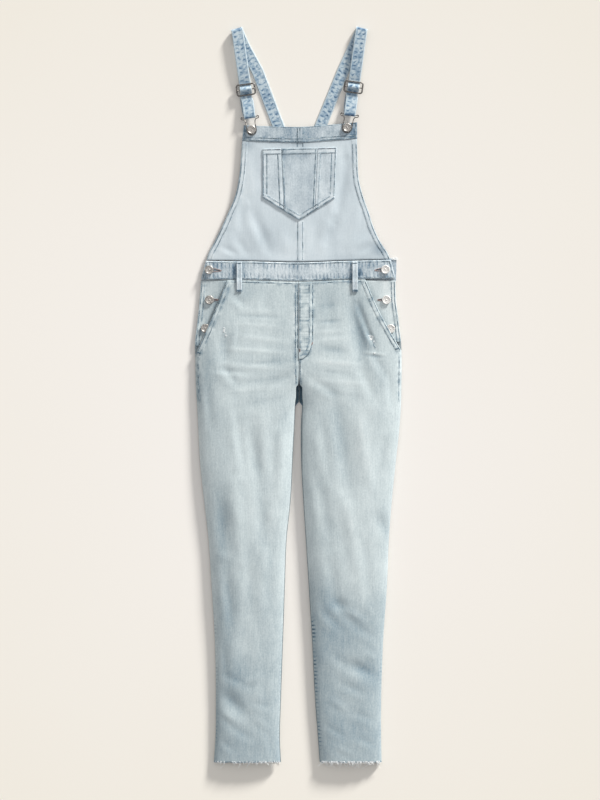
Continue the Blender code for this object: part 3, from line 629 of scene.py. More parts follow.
@dataclass
class Solid:
    """A closed mesh on the pattern, in millimetres.

    Fields:
        places: x, y, z of each corner.
        faces: groups of faces, each an array with one row of corner numbers for each face.
        painted: named values on the corners, which the finishes read.
    """
    places: Array
    faces: list[Array]
    painted: dict[str, Array] = field(default_factory=dict)

    @staticmethod
    def joined(parts: Sequence["Solid"]) -> "Solid":
        """Several closed meshes as one, each with its corner numbers moved up past those before it.

        Args:
            parts: the meshes.

        Returns:
            The one mesh; a value that a part isn't painted with is 0 there.
        """
        starts = np.cumsum([0] + [len(part.places) for part in parts[:-1]])
        painted = {}
        for name in {name for part in parts for name in part.painted}:
            painted[name] = np.concatenate([part.painted.get(name, np.zeros(len(part.places))) for part in parts])
        faces = [group + start for part, start in zip(parts, starts) for group in part.faces]
        return Solid(np.concatenate([part.places for part in parts]), faces, painted)

    def washed(self, depth: float) -> "Solid":
        """The same mesh, dyed to one depth all over."""
        self.painted["wash"] = np.full(len(self.places), depth)
        return self

    def make(self, name: str, material: bpy.types.Material, slot: Slot, stands_for: Sequence[str] = (),
             crisp: float = 50.0) -> bpy.types.Object:
        """Put the mesh in the scene as one piece.

        Args:
            name: the piece's name.
            material: its finish.
            slot: the record's slot that the finish belongs to; not used.
            stands_for: the CAD nodes that it is shown instead of.
            crisp: edges sharper than this, in degrees, aren't smoothed.

        Returns:
            The new object, riding on the one body.
        """
        mesh = bpy.data.meshes.new(name)
        corners = np.concatenate([group.reshape(-1) for group in self.faces]).astype(np.int32)
        sizes = np.concatenate([np.full(len(group), group.shape[1]) for group in self.faces])
        mesh.vertices.add(len(self.places))
        mesh.vertices.foreach_set("co", metres(self.places).astype(np.float32).reshape(-1))
        mesh.loops.add(len(corners))
        mesh.loops.foreach_set("vertex_index", corners)
        mesh.polygons.add(len(sizes))
        mesh.polygons.foreach_set("loop_start", (np.cumsum(sizes) - sizes).astype(np.int32))
        mesh.update(calc_edges=True)
        mesh.validate()
        for label, values in self.painted.items():
            layer = mesh.attributes.new(label, "FLOAT", "POINT")
            layer.data.foreach_set("value", values.astype(np.float32))
        grain = mesh.uv_layers.new(name="grain")
        flat = metres(self.places)[corners][:, :2].astype(np.float32)
        grain.data.foreach_set("uv", flat.reshape(-1))
        mesh.shade_smooth()
        mesh.set_sharp_from_angle(angle=math.radians(crisp))
        mesh.materials.append(material)
        item = bpy.data.objects.new(name, mesh)
        bpy.context.scene.collection.objects.link(item)
        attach(item, "root")
        if stands_for:
            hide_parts(*stands_for)
        log.info("%s: %d faces", name, len(sizes))
        return item


def shell(under: Array, top: Array, painted: dict[str, Array]) -> Solid:
    """A closed sheet from two grids of places: the top, the underside turned over, and a rim.

    Args:
        under: the underside, rows by columns by x, y, z, with columns to the right of rows.
        top: the upper side, on the same grid.
        painted: named values on the grid, the same on both sides.

    Returns:
        The closed mesh.
    """
    rows, columns = under.shape[:2]
    count = rows * columns
    number = np.arange(count).reshape(rows, columns)
    upper = np.stack([number[:-1, :-1], number[:-1, 1:], number[1:, 1:], number[1:, :-1]], axis=-1).reshape(-1, 4)
    around = np.concatenate([number[0, :-1], number[:-1, -1], number[-1, :0:-1], number[:0:-1, 0]])
    after = np.roll(around, -1)
    rim = np.stack([around + count, after + count, after, around], axis=-1)
    places = np.concatenate([top.reshape(-1, 3), under.reshape(-1, 3)])
    values = {name: np.tile(np.broadcast_to(value, (rows, columns)).reshape(-1), 2)
              for name, value in painted.items()}
    return Solid(places, [upper, upper[:, ::-1] + count, rim], values)


def cuts(count: int, crowd: float = 0.35) -> Array:
    """Places from 0 to 1, part even and part crowded towards both ends by a cosine."""
    even = np.linspace(0, 1, count + 1)
    return (1 - crowd) * even + crowd * (1 - np.cos(math.pi * even)) / 2


def grid(columns: int, rows: int, crowd: float = 0.35) -> tuple[Array, Array]:
    """Two arrays of places from 0 to 1, across and along a panel."""
    return np.meshgrid(cuts(columns, crowd), cuts(rows, crowd))


def even_path(points: Sequence[Sequence[float]], step: float, closed: bool = False) -> Array:
    """A smooth path through points, cut evenly.

    A Catmull-Rom curve: between two points it is a cubic whose ends run along the line between
    each point's neighbours.

    Args:
        points: places in two or three dimensions.
        step: the distance between the cuts.
        closed: whether the path comes back to its start.

    Returns:
        The places at even distances along it.
    """
    points = np.asarray(points, float)
    if closed:
        padded = np.concatenate([points[-1:], points, points[:2]])
    else:
        padded = np.concatenate([2 * points[:1] - points[1:2], points, 2 * points[-1:] - points[-2:-1]])
    t = np.linspace(0, 1, 13)[:-1, None]
    a, b, c, d = (padded[k:len(padded) - 3 + k, None, :] for k in range(4))
    curve = 0.5 * (2 * b + (c - a) * t + (2 * a - 5 * b + 4 * c - d) * t ** 2 + (3 * b - a - 3 * c + d) * t ** 3)
    curve = np.concatenate([curve.reshape(-1, points.shape[1]), padded[-2:-1]])
    return evenly(curve, step)


def evenly(line: Array, step: float) -> Array:
    """The same line cut at even distances, about step apart.

    Args:
        line: its places.
        step: the distance wanted.

    Returns:
        The places, from the line's first to its last.
    """
    lengths = np.linalg.norm(np.diff(line, axis=0), axis=1)
    along = np.concatenate([[0], np.cumsum(lengths)])
    at = np.linspace(0, along[-1], max(int(round(along[-1] / step)), 1) + 1)
    return np.stack([np.interp(at, along, line[:, k]) for k in range(line.shape[1])], axis=1)


def straight(points: Sequence[Sequence[float]], step: float = LINE_STEP) -> Array:
    """A path with corners, cut evenly."""
    return evenly(np.asarray(points, float), step)


def seam(x: Array, y: Array) -> Array:
    """A line of stitches through places given by their x and their y, cut evenly."""
    return evenly(np.column_stack([x, y]), LINE_STEP)


def beside(line: Array, distance: float) -> Array:
    """A flat line moved sideways, to the left of its own direction when distance is positive.

    Args:
        line: its places.
        distance: how far to move it.

    Returns:
        The moved line.
    """
    run = np.gradient(line, axis=0)
    run = run / np.linalg.norm(run, axis=1)[:, None]
    return line + distance * np.stack([-run[:, 1], run[:, 0]], axis=1)


def away_from(line: Array, x: Array, y: Array, reach: float = 30.0) -> Array:
    """The distance from each place to a flat line, where it is within reach, and reach elsewhere.

    Args:
        line: its places.
        x: places across.
        y: places along.
        reach: the largest distance that matters.

    Returns:
        The distances.
    """
    distance = np.full(np.broadcast(x, y).shape, reach)
    low, high = line.min(axis=0) - reach, line.max(axis=0) + reach
    close = (x > low[0]) & (x < high[0]) & (y > low[1]) & (y < high[1])
    if close.any():
        near_x, near_y = x[close], y[close]
        best = np.full(near_x.shape, reach)
        for start in range(0, len(line), 24):
            some = line[start:start + 24]
            gaps = np.hypot(near_x[:, None] - some[:, 0], near_y[:, None] - some[:, 1]).min(axis=1)
            best = np.minimum(best, gaps)
        distance[close] = best
    return distance


def frames(path: Array) -> tuple[Array, Array, Array]:
    """For each place on a path: its direction, and two directions square to it, sideways and up.

    Args:
        path: places in three dimensions.

    Returns:
        Three arrays of unit vectors. Where the path is upright, sideways is taken from Y.
    """
    along = np.gradient(path, axis=0)
    along /= np.linalg.norm(along, axis=1)[:, None]
    sideways = np.cross(along, [0.0, 0.0, 1.0])
    weak = np.linalg.norm(sideways, axis=1) < 1e-3
    sideways[weak] = np.cross(along[weak], [0.0, 1.0, 0.0])
    sideways /= np.linalg.norm(sideways, axis=1)[:, None]
    return along, sideways, np.cross(sideways, along)


def tube(path: Array, radius: float | Array, sides: int = 10, closed: bool = False) -> Solid:
    """A round wire or thread: circles square to a path, joined, with flat ends unless it is closed.

    Args:
        path: places in three dimensions.
        radius: the wire's radius, one value or one for each place.
        sides: corners round the wire.
        closed: whether the last circle joins the first.

    Returns:
        The closed mesh.
    """
    _, sideways, up = frames(np.concatenate([path[-1:], path, path[:1]]) if closed else path)
    if closed:
        sideways, up = sideways[1:-1], up[1:-1]
    turn = np.linspace(0, 2 * math.pi, sides, endpoint=False)
    radii = np.broadcast_to(radius, (len(path),))[:, None, None]
    rings = path[:, None] + radii * (np.cos(turn)[None, :, None] * up[:, None]
                                     + np.sin(turn)[None, :, None] * sideways[:, None])
    number = np.arange(len(path) * sides).reshape(len(path), sides)
    if closed:
        number = np.concatenate([number, number[:1]])
    here, there = number[:-1], number[1:]
    quads = np.stack([here, there, np.roll(there, -1, axis=1), np.roll(here, -1, axis=1)], axis=-1).reshape(-1, 4)
    faces = [quads[:, ::-1]]
    if not closed:
        faces += [number[0][None, ::-1], number[-1][None, :]]
    return Solid(rings.reshape(-1, 3), faces)


def turned_form(profile: Sequence[Place], centre: Sequence[float], sides: int = 40) -> Solid:
    """A form turned about an upright axis: a profile of (radius, height), both ends on the axis.

    Args:
        profile: from the bottom on the axis, outwards and up, to the top on the axis.
        centre: the axis and the height that the profile counts from.
        sides: corners round it.

    Returns:
        The closed mesh.
    """
    rings = np.asarray(profile[1:-1], float)
    turn = np.linspace(0, 2 * math.pi, sides, endpoint=False)
    places = np.stack([rings[:, :1] * np.cos(turn), rings[:, :1] * np.sin(turn),
                       np.broadcast_to(rings[:, 1:], (len(rings), sides))], axis=-1).reshape(-1, 3)
    number = np.arange(len(rings) * sides).reshape(len(rings), sides)
    here, there = number[:-1], number[1:]
    quads = np.stack([here, np.roll(here, -1, axis=1), np.roll(there, -1, axis=1), there], axis=-1).reshape(-1, 4)
    bottom, top = len(places), len(places) + 1
    places = np.concatenate([places, [(0, 0, profile[0][1]), (0, 0, profile[-1][1])]])
    first, last = number[0], number[-1]
    foot = np.stack([np.roll(first, -1), first, np.full(sides, bottom)], axis=-1)
    cap = np.stack([last, np.roll(last, -1), np.full(sides, top)], axis=-1)
    return Solid(places + np.asarray(centre, float), [quads, foot, cap])


def strip(path: Array, widths: Array, width: float, thickness: float, swell: Array,
          painted: dict[str, Array]) -> Solid:
    """A band of cloth carried along a path.

    Args:
        path: the middle of the band's thickness.
        widths: the direction of its width at each place.
        width: the band's width.
        thickness: the band's thickness.
        swell: how much thicker than that it is, on each side, at even places across.
        painted: named values, path by places across.

    Returns:
        The closed band.
    """
    along = np.gradient(path, axis=0)
    along /= np.linalg.norm(along, axis=1)[:, None]
    outward = np.cross(widths, along)
    outward /= np.linalg.norm(outward, axis=1)[:, None]
    across = np.linspace(-0.5, 0.5, len(swell)) * width
    middle = path[:, None] + across[None, :, None] * widths[:, None]
    rise = outward[:, None] * (thickness / 2 + swell)[None, :, None]
    return shell(middle - rise, middle + rise, painted)


# ---------------------------------------------------------------- sewing

def stitches(path: Array, top: Height, pitch: float = 3.3, length: float = 2.4, radius: float = 0.34) -> Solid:
    """A row of stitches: short threads of five sides, thick in the middle, half sunk in the cloth.

    Args:
        path: the flat line that they follow.
        top: the height of the cloth's upper side.
        pitch: from one stitch to the next.
        length: of one stitch.
        radius: of the thread.

    Returns:
        All the stitches as one mesh.
    """
    line = evenly(path, pitch)
    middle = (line[:-1] + line[1:]) / 2
    return threads(middle, np.diff(line, axis=0), top, length, radius)


def threads(middle: Array, direction: Array, top: Height, length: float, radius: float, lift: float = 0.1) -> Solid:
    """Short lengths of thread lying on the cloth: three rings of five corners, small at the ends.

    Args:
        middle: the flat place of each.
        direction: the flat direction of each.
        top: the height of the cloth's upper side.
        length: of one thread.
        radius: of the thread.
        lift: of the thread's middle off the cloth.

    Returns:
        All of them as one mesh.
    """
    count = len(middle)
    direction = direction / np.linalg.norm(direction, axis=1)[:, None]
    ahead = middle + direction * length / 2
    behind = middle - direction * length / 2
    spine = np.stack([np.column_stack([behind, top(behind[:, 0], behind[:, 1]) - 0.1]),
                      np.column_stack([middle, top(middle[:, 0], middle[:, 1]) + lift]),
                      np.column_stack([ahead, top(ahead[:, 0], ahead[:, 1]) - 0.1])], axis=1)
    sideways = np.column_stack([-direction[:, 1], direction[:, 0], np.zeros(count)])
    turn = np.linspace(0, 2 * math.pi, 5, endpoint=False)
    radii = (radius * np.array([0.55, 1.0, 0.55]))[None, :, None, None]
    ring = (np.cos(turn)[:, None] * np.array([0.0, 0.0, 1.0]))[None, None] \
        + np.sin(turn)[None, None, :, None] * sideways[:, None, None, :]
    places = (spine[:, :, None] + radii * ring).reshape(-1, 3)
    number = np.arange(15).reshape(3, 5)
    quads = np.stack([number[:-1], number[1:], np.roll(number[1:], -1, axis=1), np.roll(number[:-1], -1, axis=1)],
                     axis=-1).reshape(-1, 4)
    starts = 15 * np.arange(count)[:, None, None]
    return Solid(places, [(quads[None] + starts).reshape(-1, 4), (number[0][None, None] + starts).reshape(-1, 5),
                          (number[-1][None, None, ::-1] + starts).reshape(-1, 5)])


def pressed_line(path: Array, top: Height, width: float = 2.0, seed: int = 5) -> Solid:
    """The dark pressed line that a row of stitches sits in: partly dye that has kept its depth, partly painted shade in
    the groove.

    Args:
        path: the flat line that it follows.
        top: the height of the cloth's upper side.
        width: of the line, which wanders by a fifth.
        seed: which wandering.

    Returns:
        A thin closed ribbon that stands a few hundredths of a millimetre out of the cloth.
    """
    line = evenly(path, 1.9)
    half = width / 2 * (0.8 + 0.4 * noise(line[:, 0], line[:, 1], 5, 5, seed))
    run = np.gradient(line, axis=0)
    run /= np.linalg.norm(run, axis=1)[:, None]
    sideways = np.stack([run[:, 1], -run[:, 0]], axis=1) * half[:, None]
    flat = np.stack([line - sideways, line + sideways], axis=1)
    z = top(flat[..., 0], flat[..., 1])
    fresh = noise(line[:, 0], line[:, 1], 7, 7, seed + 1)[:, None] * np.ones((1, 2))
    wash = 0.64 + 0.72 * ease(0.2, 0.7, fresh)
    return shell(np.dstack([flat, z - 0.3]), np.dstack([flat, z + 0.07]), {"wash": wash})


def tack(centre: Place, direction: Place, length: float, top: Height, width: float = 2.2) -> Solid:
    """A bar tack: close threads side by side across a short line.

    Args:
        centre: its middle.
        direction: which way the bar runs.
        length: of the bar.
        top: the height of the cloth's upper side.
        width: of the bar.

    Returns:
        The threads as one mesh.
    """
    run = np.asarray(direction, float) / math.hypot(*direction)
    at = np.arange(-length / 2, length / 2 + 0.01, 0.55)
    middle = np.asarray(centre, float) + at[:, None] * run
    return threads(middle, np.tile([-run[1], run[0]], (len(at), 1)), top, width, 0.36, 0.22)


# ---------------------------------------------------------------- finishes

def linear(colour: str) -> tuple[float, float, float, float]:
    """Turn an sRGB hex colour into linear red, green, blue and 1."""
    values = [int(colour[k:k + 2], 16) / 255 for k in (1, 3, 5)]
    return (*[v / 12.92 if v <= 0.04045 else ((v + 0.055) / 1.055) ** 2.4 for v in values], 1.0)


def add(tree: bpy.types.NodeTree, kind: str, settings: dict | None = None,
        links: dict | None = None) -> bpy.types.Node:
    """Add a node with its settings and its inputs.

    Args:
        tree: the node tree.
        kind: the node's type, after "ShaderNode".
        settings: its properties, by name.
        links: its inputs, by name or number; each is a value or another node's output.

    Returns:
        The new node.
    """
    node = tree.nodes.new("ShaderNode" + kind)
    for name, value in (settings or {}).items():
        setattr(node, name, value)
    for name, value in (links or {}).items():
        if isinstance(value, bpy.types.NodeSocket):
            tree.links.new(value, node.inputs[name])
        else:
            node.inputs[name].default_value = value
    return node


class Recipe:
    """A material being made: its node tree, its shader, and the place on the object."""

    def __init__(self, name: str) -> None:
        """Start a material with only its shader and output.

        Args:
            name: the material's name.
        """
        self.material = bpy.data.materials.new(name)
        self.material.use_nodes = True
        self.tree = self.material.node_tree
        self.shader = self.tree.nodes["Principled BSDF"]
        self.where = add(self.tree, "TexCoord").outputs["Object"]

    def speckle(self, scale: float, detail: float = 2.0) -> Socket:
        """A noise with this many cells along a metre."""
        return add(self.tree, "TexNoise", links={"Vector": self.where, "Scale": scale, "Detail": detail}).outputs["Fac"]

    def sum(self, operation: str, *values: Socket | float) -> Socket:
        """The result of one operation of arithmetic."""
        return add(self.tree, "Math", {"operation": operation}, dict(enumerate(values))).outputs[0]

    def colour(self, factor: Socket, places: Sequence[float], colours: Sequence[str]) -> None:
        """Colour the shader by a ramp.

        Args:
            factor: what reads the ramp.
            places: where its colours stand, from 0 to 1.
            colours: sRGB colours.
        """
        node = add(self.tree, "ValToRGB", links={0: factor})
        stops = node.color_ramp.elements
        while len(stops) < len(places):
            stops.new(0.5)
        for stop, place, colour in zip(stops, places, colours):
            stop.position = place
            stop.color = linear(colour)
        self.tree.links.new(node.outputs[0], self.shader.inputs["Base Color"])

    def finished(self, height: Socket, strength: float, distance: float,
                 levels: dict[str, float]) -> bpy.types.Material:
        """Raise the surface by a bump and set the shader's even levels.

        Args:
            height: of the surface.
            strength: of the bump.
            distance: its full height, in metres.
            levels: the shader's inputs by name.

        Returns:
            The material.
        """
        bump = add(self.tree, "Bump", links={"Height": height, "Strength": strength, "Distance": distance})
        self.tree.links.new(bump.outputs[0], self.shader.inputs["Normal"])
        for name, level in levels.items():
            self.shader.inputs[name].default_value = level
        return self.material


@dataclass(frozen=True)
class WashedDenim:
    """Indigo cotton twill, bleached and stone-washed: pale, matt, with upright streaks of thicker yarn
    and a salt-and-pepper grain where white weft shows between blue warp.

    Fields:
        name: the material's name.
        streak: how strongly the thick yarns show.
        grain: how strongly single yarns show.
        cloud: how uneven the bleach is.
        relief: how strongly the yarns stand out.
        tint: colours along the wash, from faded to unwashed.
        stops: where those colours stand.
    """
    name: str
    streak: float = 0.19
    grain: float = 0.23
    cloud: float = 0.18
    relief: float = 0.32
    tint: tuple[str, ...] = ("#DCE4E6", "#CDD8DB", "#BDC9CD", "#A9B7BD", "#92A4AE", "#71899B", "#4A616F", "#33454F")
    stops: tuple[float, ...] = (0.0, 0.125, 0.25, 0.375, 0.5, 0.625, 0.875, 1.0)

    def build(self) -> bpy.types.Material:
        """Make the material: the painted wash plus three noises reads the dye's colour ramp.

        Streaks are 2.6 mm wide and 26 mm long and the grain is 2.4 by 3.6 mm. The yarns of the twill
        are 0.5 mm apart, which is too fine to show, so its ribs are drawn 1.4 mm apart.

        Returns:
            The material.
        """
        recipe = Recipe(self.name)
        total = add(recipe.tree, "Attribute", {"attribute_name": "wash"}).outputs["Fac"]
        heights = []
        for amount, scale, detail in ((self.streak, (385, 38, 385), 3.0), (self.grain, (415, 275, 415), 2.0),
                                      (self.cloud, (30, 20, 30), 5.0)):
            at = add(recipe.tree, "Mapping", links={"Vector": recipe.where, "Scale": scale}).outputs[0]
            speckle = add(recipe.tree, "TexNoise", links={
                "Vector": at, "Scale": 1.0, "Detail": detail, "Roughness": 0.55}).outputs["Fac"]
            total = recipe.sum("MULTIPLY_ADD", recipe.sum("SUBTRACT", speckle, 0.5), 2 * amount, total)
            heights.append(speckle)
        recipe.colour(recipe.sum("DIVIDE", total, 1.6), self.stops, self.tint)
        diagonal = add(recipe.tree, "Mapping", links={"Vector": recipe.where, "Rotation": (0, 0, math.radians(63))})
        twill = add(recipe.tree, "TexWave", {"bands_direction": "X"}, {
            "Vector": diagonal.outputs[0], "Scale": 224.0, "Distortion": 1.5, "Detail": 1.0}).outputs["Fac"]
        rough = recipe.sum("MULTIPLY_ADD", heights[0], 1.4, recipe.sum("MULTIPLY_ADD", twill, 0.35, heights[1]))
        return recipe.finished(rough, self.relief, 0.0004, {
            "Roughness": 0.92, "Specular IOR Level": 0.25, "Sheen Weight": 0.12, "Sheen Roughness": 0.6})


@dataclass(frozen=True)
class CottonThread:
    """Twisted cotton-wrapped thread: matt, slightly darker where it turns in."""
    name: str
    light: str
    dark: str

    def build(self) -> bpy.types.Material:
        """Make the material: a 3 mm noise between two shades, and a fine twist in the bump."""
        recipe = Recipe(self.name)
        recipe.colour(recipe.speckle(330.0, 1.0), (0.35, 0.6), (self.dark, self.light))
        return recipe.finished(recipe.speckle(2500.0), 0.4, 0.0002, {"Roughness": 0.85, "Sheen Weight": 0.2})


@dataclass(frozen=True)
class WornNickel:
    """Nickel plate on steel, tumbled with the washed garment: satin, with duller patches.

    Fields:
        name: the material's name.
        bright: the plate where it is rubbed.
        dull: the plate where it is tarnished.
        metallic: below 1 where a frosted plate scatters light.
        roughness: of the bright plate.
    """
    name: str
    bright: str
    dull: str
    metallic: float
    roughness: float

    def build(self) -> bpy.types.Material:
        """Make the material: 2 mm patches between bright and dull, and a fine tumbled grain."""
        recipe = Recipe(self.name)
        patch = recipe.speckle(480.0, 3.0)
        recipe.colour(patch, (0.38, 0.58), (self.dull, self.bright))
        gloss = add(recipe.tree, "MapRange", links={
            "Value": patch, "To Min": self.roughness + 0.15, "To Max": self.roughness - 0.05})
        recipe.tree.links.new(gloss.outputs[0], recipe.shader.inputs["Roughness"])
        return recipe.finished(recipe.speckle(3000.0), 0.25, 0.0001, {"Metallic": self.metallic})


@dataclass(frozen=True)
class MattPaper:
    """Uncoated studio paper: pale cream, with a faint unevenness a hand's width across, and a painted pool of light in
    the middle.
    """
    name: str
    light: str
    dark: str

    def build(self) -> bpy.types.Material:
        """Make the material: a painted pool of light, a slow fade from the middle, with a broad noise, between two
        creams.
        """
        recipe = Recipe(self.name)
        # painted pool of light: lighter in the middle, fading outwards
        fade = add(recipe.tree, "TexGradient", {"gradient_type": "SPHERICAL"}, {"Vector": recipe.where}).outputs["Fac"]
        mottle = recipe.sum("MULTIPLY_ADD", recipe.speckle(1.6, 1.0), 0.3, fade)
        recipe.colour(mottle, (0.2, 0.9), (self.dark, self.light))
        for name, level in (("Roughness", 0.95), ("Specular IOR Level", 0.1)):
            recipe.shader.inputs[name].default_value = level
        return recipe.material


class Finishes:
    """Every finish of the garment, made once."""

    def __init__(self) -> None:
        """Make the materials."""
        blue = ("#DBE3E8", "#CCD7DE", "#BCC8D0", "#A8B6C0", "#91A3B1", "#70889D", "#4A6071", "#334450")
        deep = ("#D5DFE4", "#C2D0D8", "#AFC1CD", "#98AEC0", "#7D97AE", "#637F9B", "#48637F", "#34495F")
        twill = "washed denim twill"
        self.denim = WashedDenim(twill).build()
        self.bib = WashedDenim(twill + ", bib", 0.10, 0.12, 0.12, 0.16, blue).build()
        self.band = WashedDenim(twill + ", doubled band", 0.26, 0.50, 0.26, 0.45, blue).build()
        self.pocket = WashedDenim(twill + ", pocket", grain=0.30, cloud=0.22, tint=blue).build()
        self.strap = WashedDenim(twill + ", folded strap", 0.1, 0.36, 0.1, tint=deep).build()
        # dark lines: part dye kept, part painted shade in the stitch grooves
        self.line = WashedDenim("pressed stitch line, dye kept", 0.0, 0.6, 0.3).build()
        self.thread = CottonThread("pale grey cotton thread", "#CBD4D9", "#9AABB6").build()
        self.tobacco = CottonThread("faded tobacco cotton thread", "#AD9089", "#6A5150").build()
        self.white = CottonThread("white weft cotton", "#FCFDFD", "#EEF2F4").build()
        self.wire = WornNickel("nickel-plated steel wire, satin", "#94908D", "#4C4948", 1.0, 0.3).build()
        self.button = WornNickel("nickel-plated button, frosted", "#F8F7F5", "#D3CFCB", 0.35, 0.42).build()
        self.dull_button = WornNickel("nickel-plated button, tumbled", "#D2CEC9", "#86827E", 0.75, 0.34).build()


# ---------------------------------------------------------------- cloth pieces

@dataclass
class Panel:
    """One cloth piece with what is sewn along it.

    Fields:
        node: the CAD node that it stands for.
        slot: the record's slot.
        material: its finish.
        thickness: of the cloth.
        under: the height of its underside.
        raised: how much seams and hems thicken it.
        lines: lines of pale stitches in a pressed line.
        tobacco: lines of tobacco stitches.
        tacks: bar tacks, as a place, a direction and a length.
        rope: how strongly the wash is mottled along the lines.
    """
    node: str
    slot: Slot
    material: bpy.types.Material
    thickness: float
    under: Height
    raised: Height = lambda x, y: 0.0 * x
    lines: list[Array] = field(default_factory=list)
    tobacco: list[Array] = field(default_factory=list)
    tacks: list[tuple[Place, Place, float]] = field(default_factory=list)
    rope: float = 0.75

    def nearest_line(self, x: Array, y: Array) -> Array:
        """The distance to the nearest line of stitches.

        Args:
            x: places across.
            y: places along.

        Returns:
            The distances, 30 mm at most.
        """
        distance = np.full(np.broadcast(x, y).shape, 30.0)
        for line in self.lines + self.tobacco:
            distance = np.minimum(distance, away_from(line, x, y))
        return distance

    def lowered(self, x: Array, y: Array, distance: Array) -> Array:
        """The underside, drawn into puckers of about 8 mm along the lines."""
        return self.under(x, y) + 0.34 * (noise(x, y, 8, 8, 31) - 0.5) * bell(distance, 7)

    def top(self, x: Array, y: Array) -> Array:
        """The height of its upper side."""
        return self.lowered(x, y, self.nearest_line(x, y)) + self.thickness + self.raised(x, y)

    def build(self, x: Array, y: Array, wash: Array, flat: Place, area: float | None,
              rests_on: Sequence[str] = ()) -> None:
        """Make the cloth and its sewing. The cloth's edges are pressed thinner.

        Args:
            x: the grid's places across.
            y: the grid's places along.
            wash: the depth of dye on the grid, before the mottling along the seams.
            flat: the cut's width and length in metres; not used.
            area: the cut's area, where it isn't a rectangle; not used.
            rests_on: what it lies on; not used.
        """
        distance = self.nearest_line(x, y)
        mottle = blotch(x, y, 5.5, 5.5, 41) * 0.65 + blotch(x, y, 11, 11, 42) * 0.35
        wash = wash + self.rope * (mottle - 0.36) * bell(distance, 4.2)
        z = self.lowered(x, y, distance)
        thick = np.broadcast_to(self.thickness + self.raised(x, y), np.shape(z)).copy()
        thick[[0, -1], :] *= PRESSED
        thick[:, [0, -1]] *= PRESSED
        body = shell(np.dstack([x, y, z]), np.dstack([x, y, z + thick]), {"wash": wash})
        piece = body.make("denim_" + self.node, self.material, self.slot, [self.node])
        self.sew()

    def sew(self) -> list[bpy.types.Object]:
        """Make the pressed lines, stitches and tacks, each kind as one piece."""
        pressed = [pressed_line(line, self.top) for line in self.lines + self.tobacco]
        kinds = (("pressed_lines_", FINISHES.line, pressed),
                 ("stitches_", FINISHES.thread, [stitches(line, self.top) for line in self.lines]),
                 ("tobacco_stitches_", FINISHES.tobacco, [stitches(line, self.top) for line in self.tobacco]
                  + [tack(place, run, length, self.top) for place, run, length in self.tacks]))
        return [Solid.joined(parts).make(kind + self.node, finish, self.slot) for kind, finish, parts in kinds if parts]


FINISHES = Finishes()


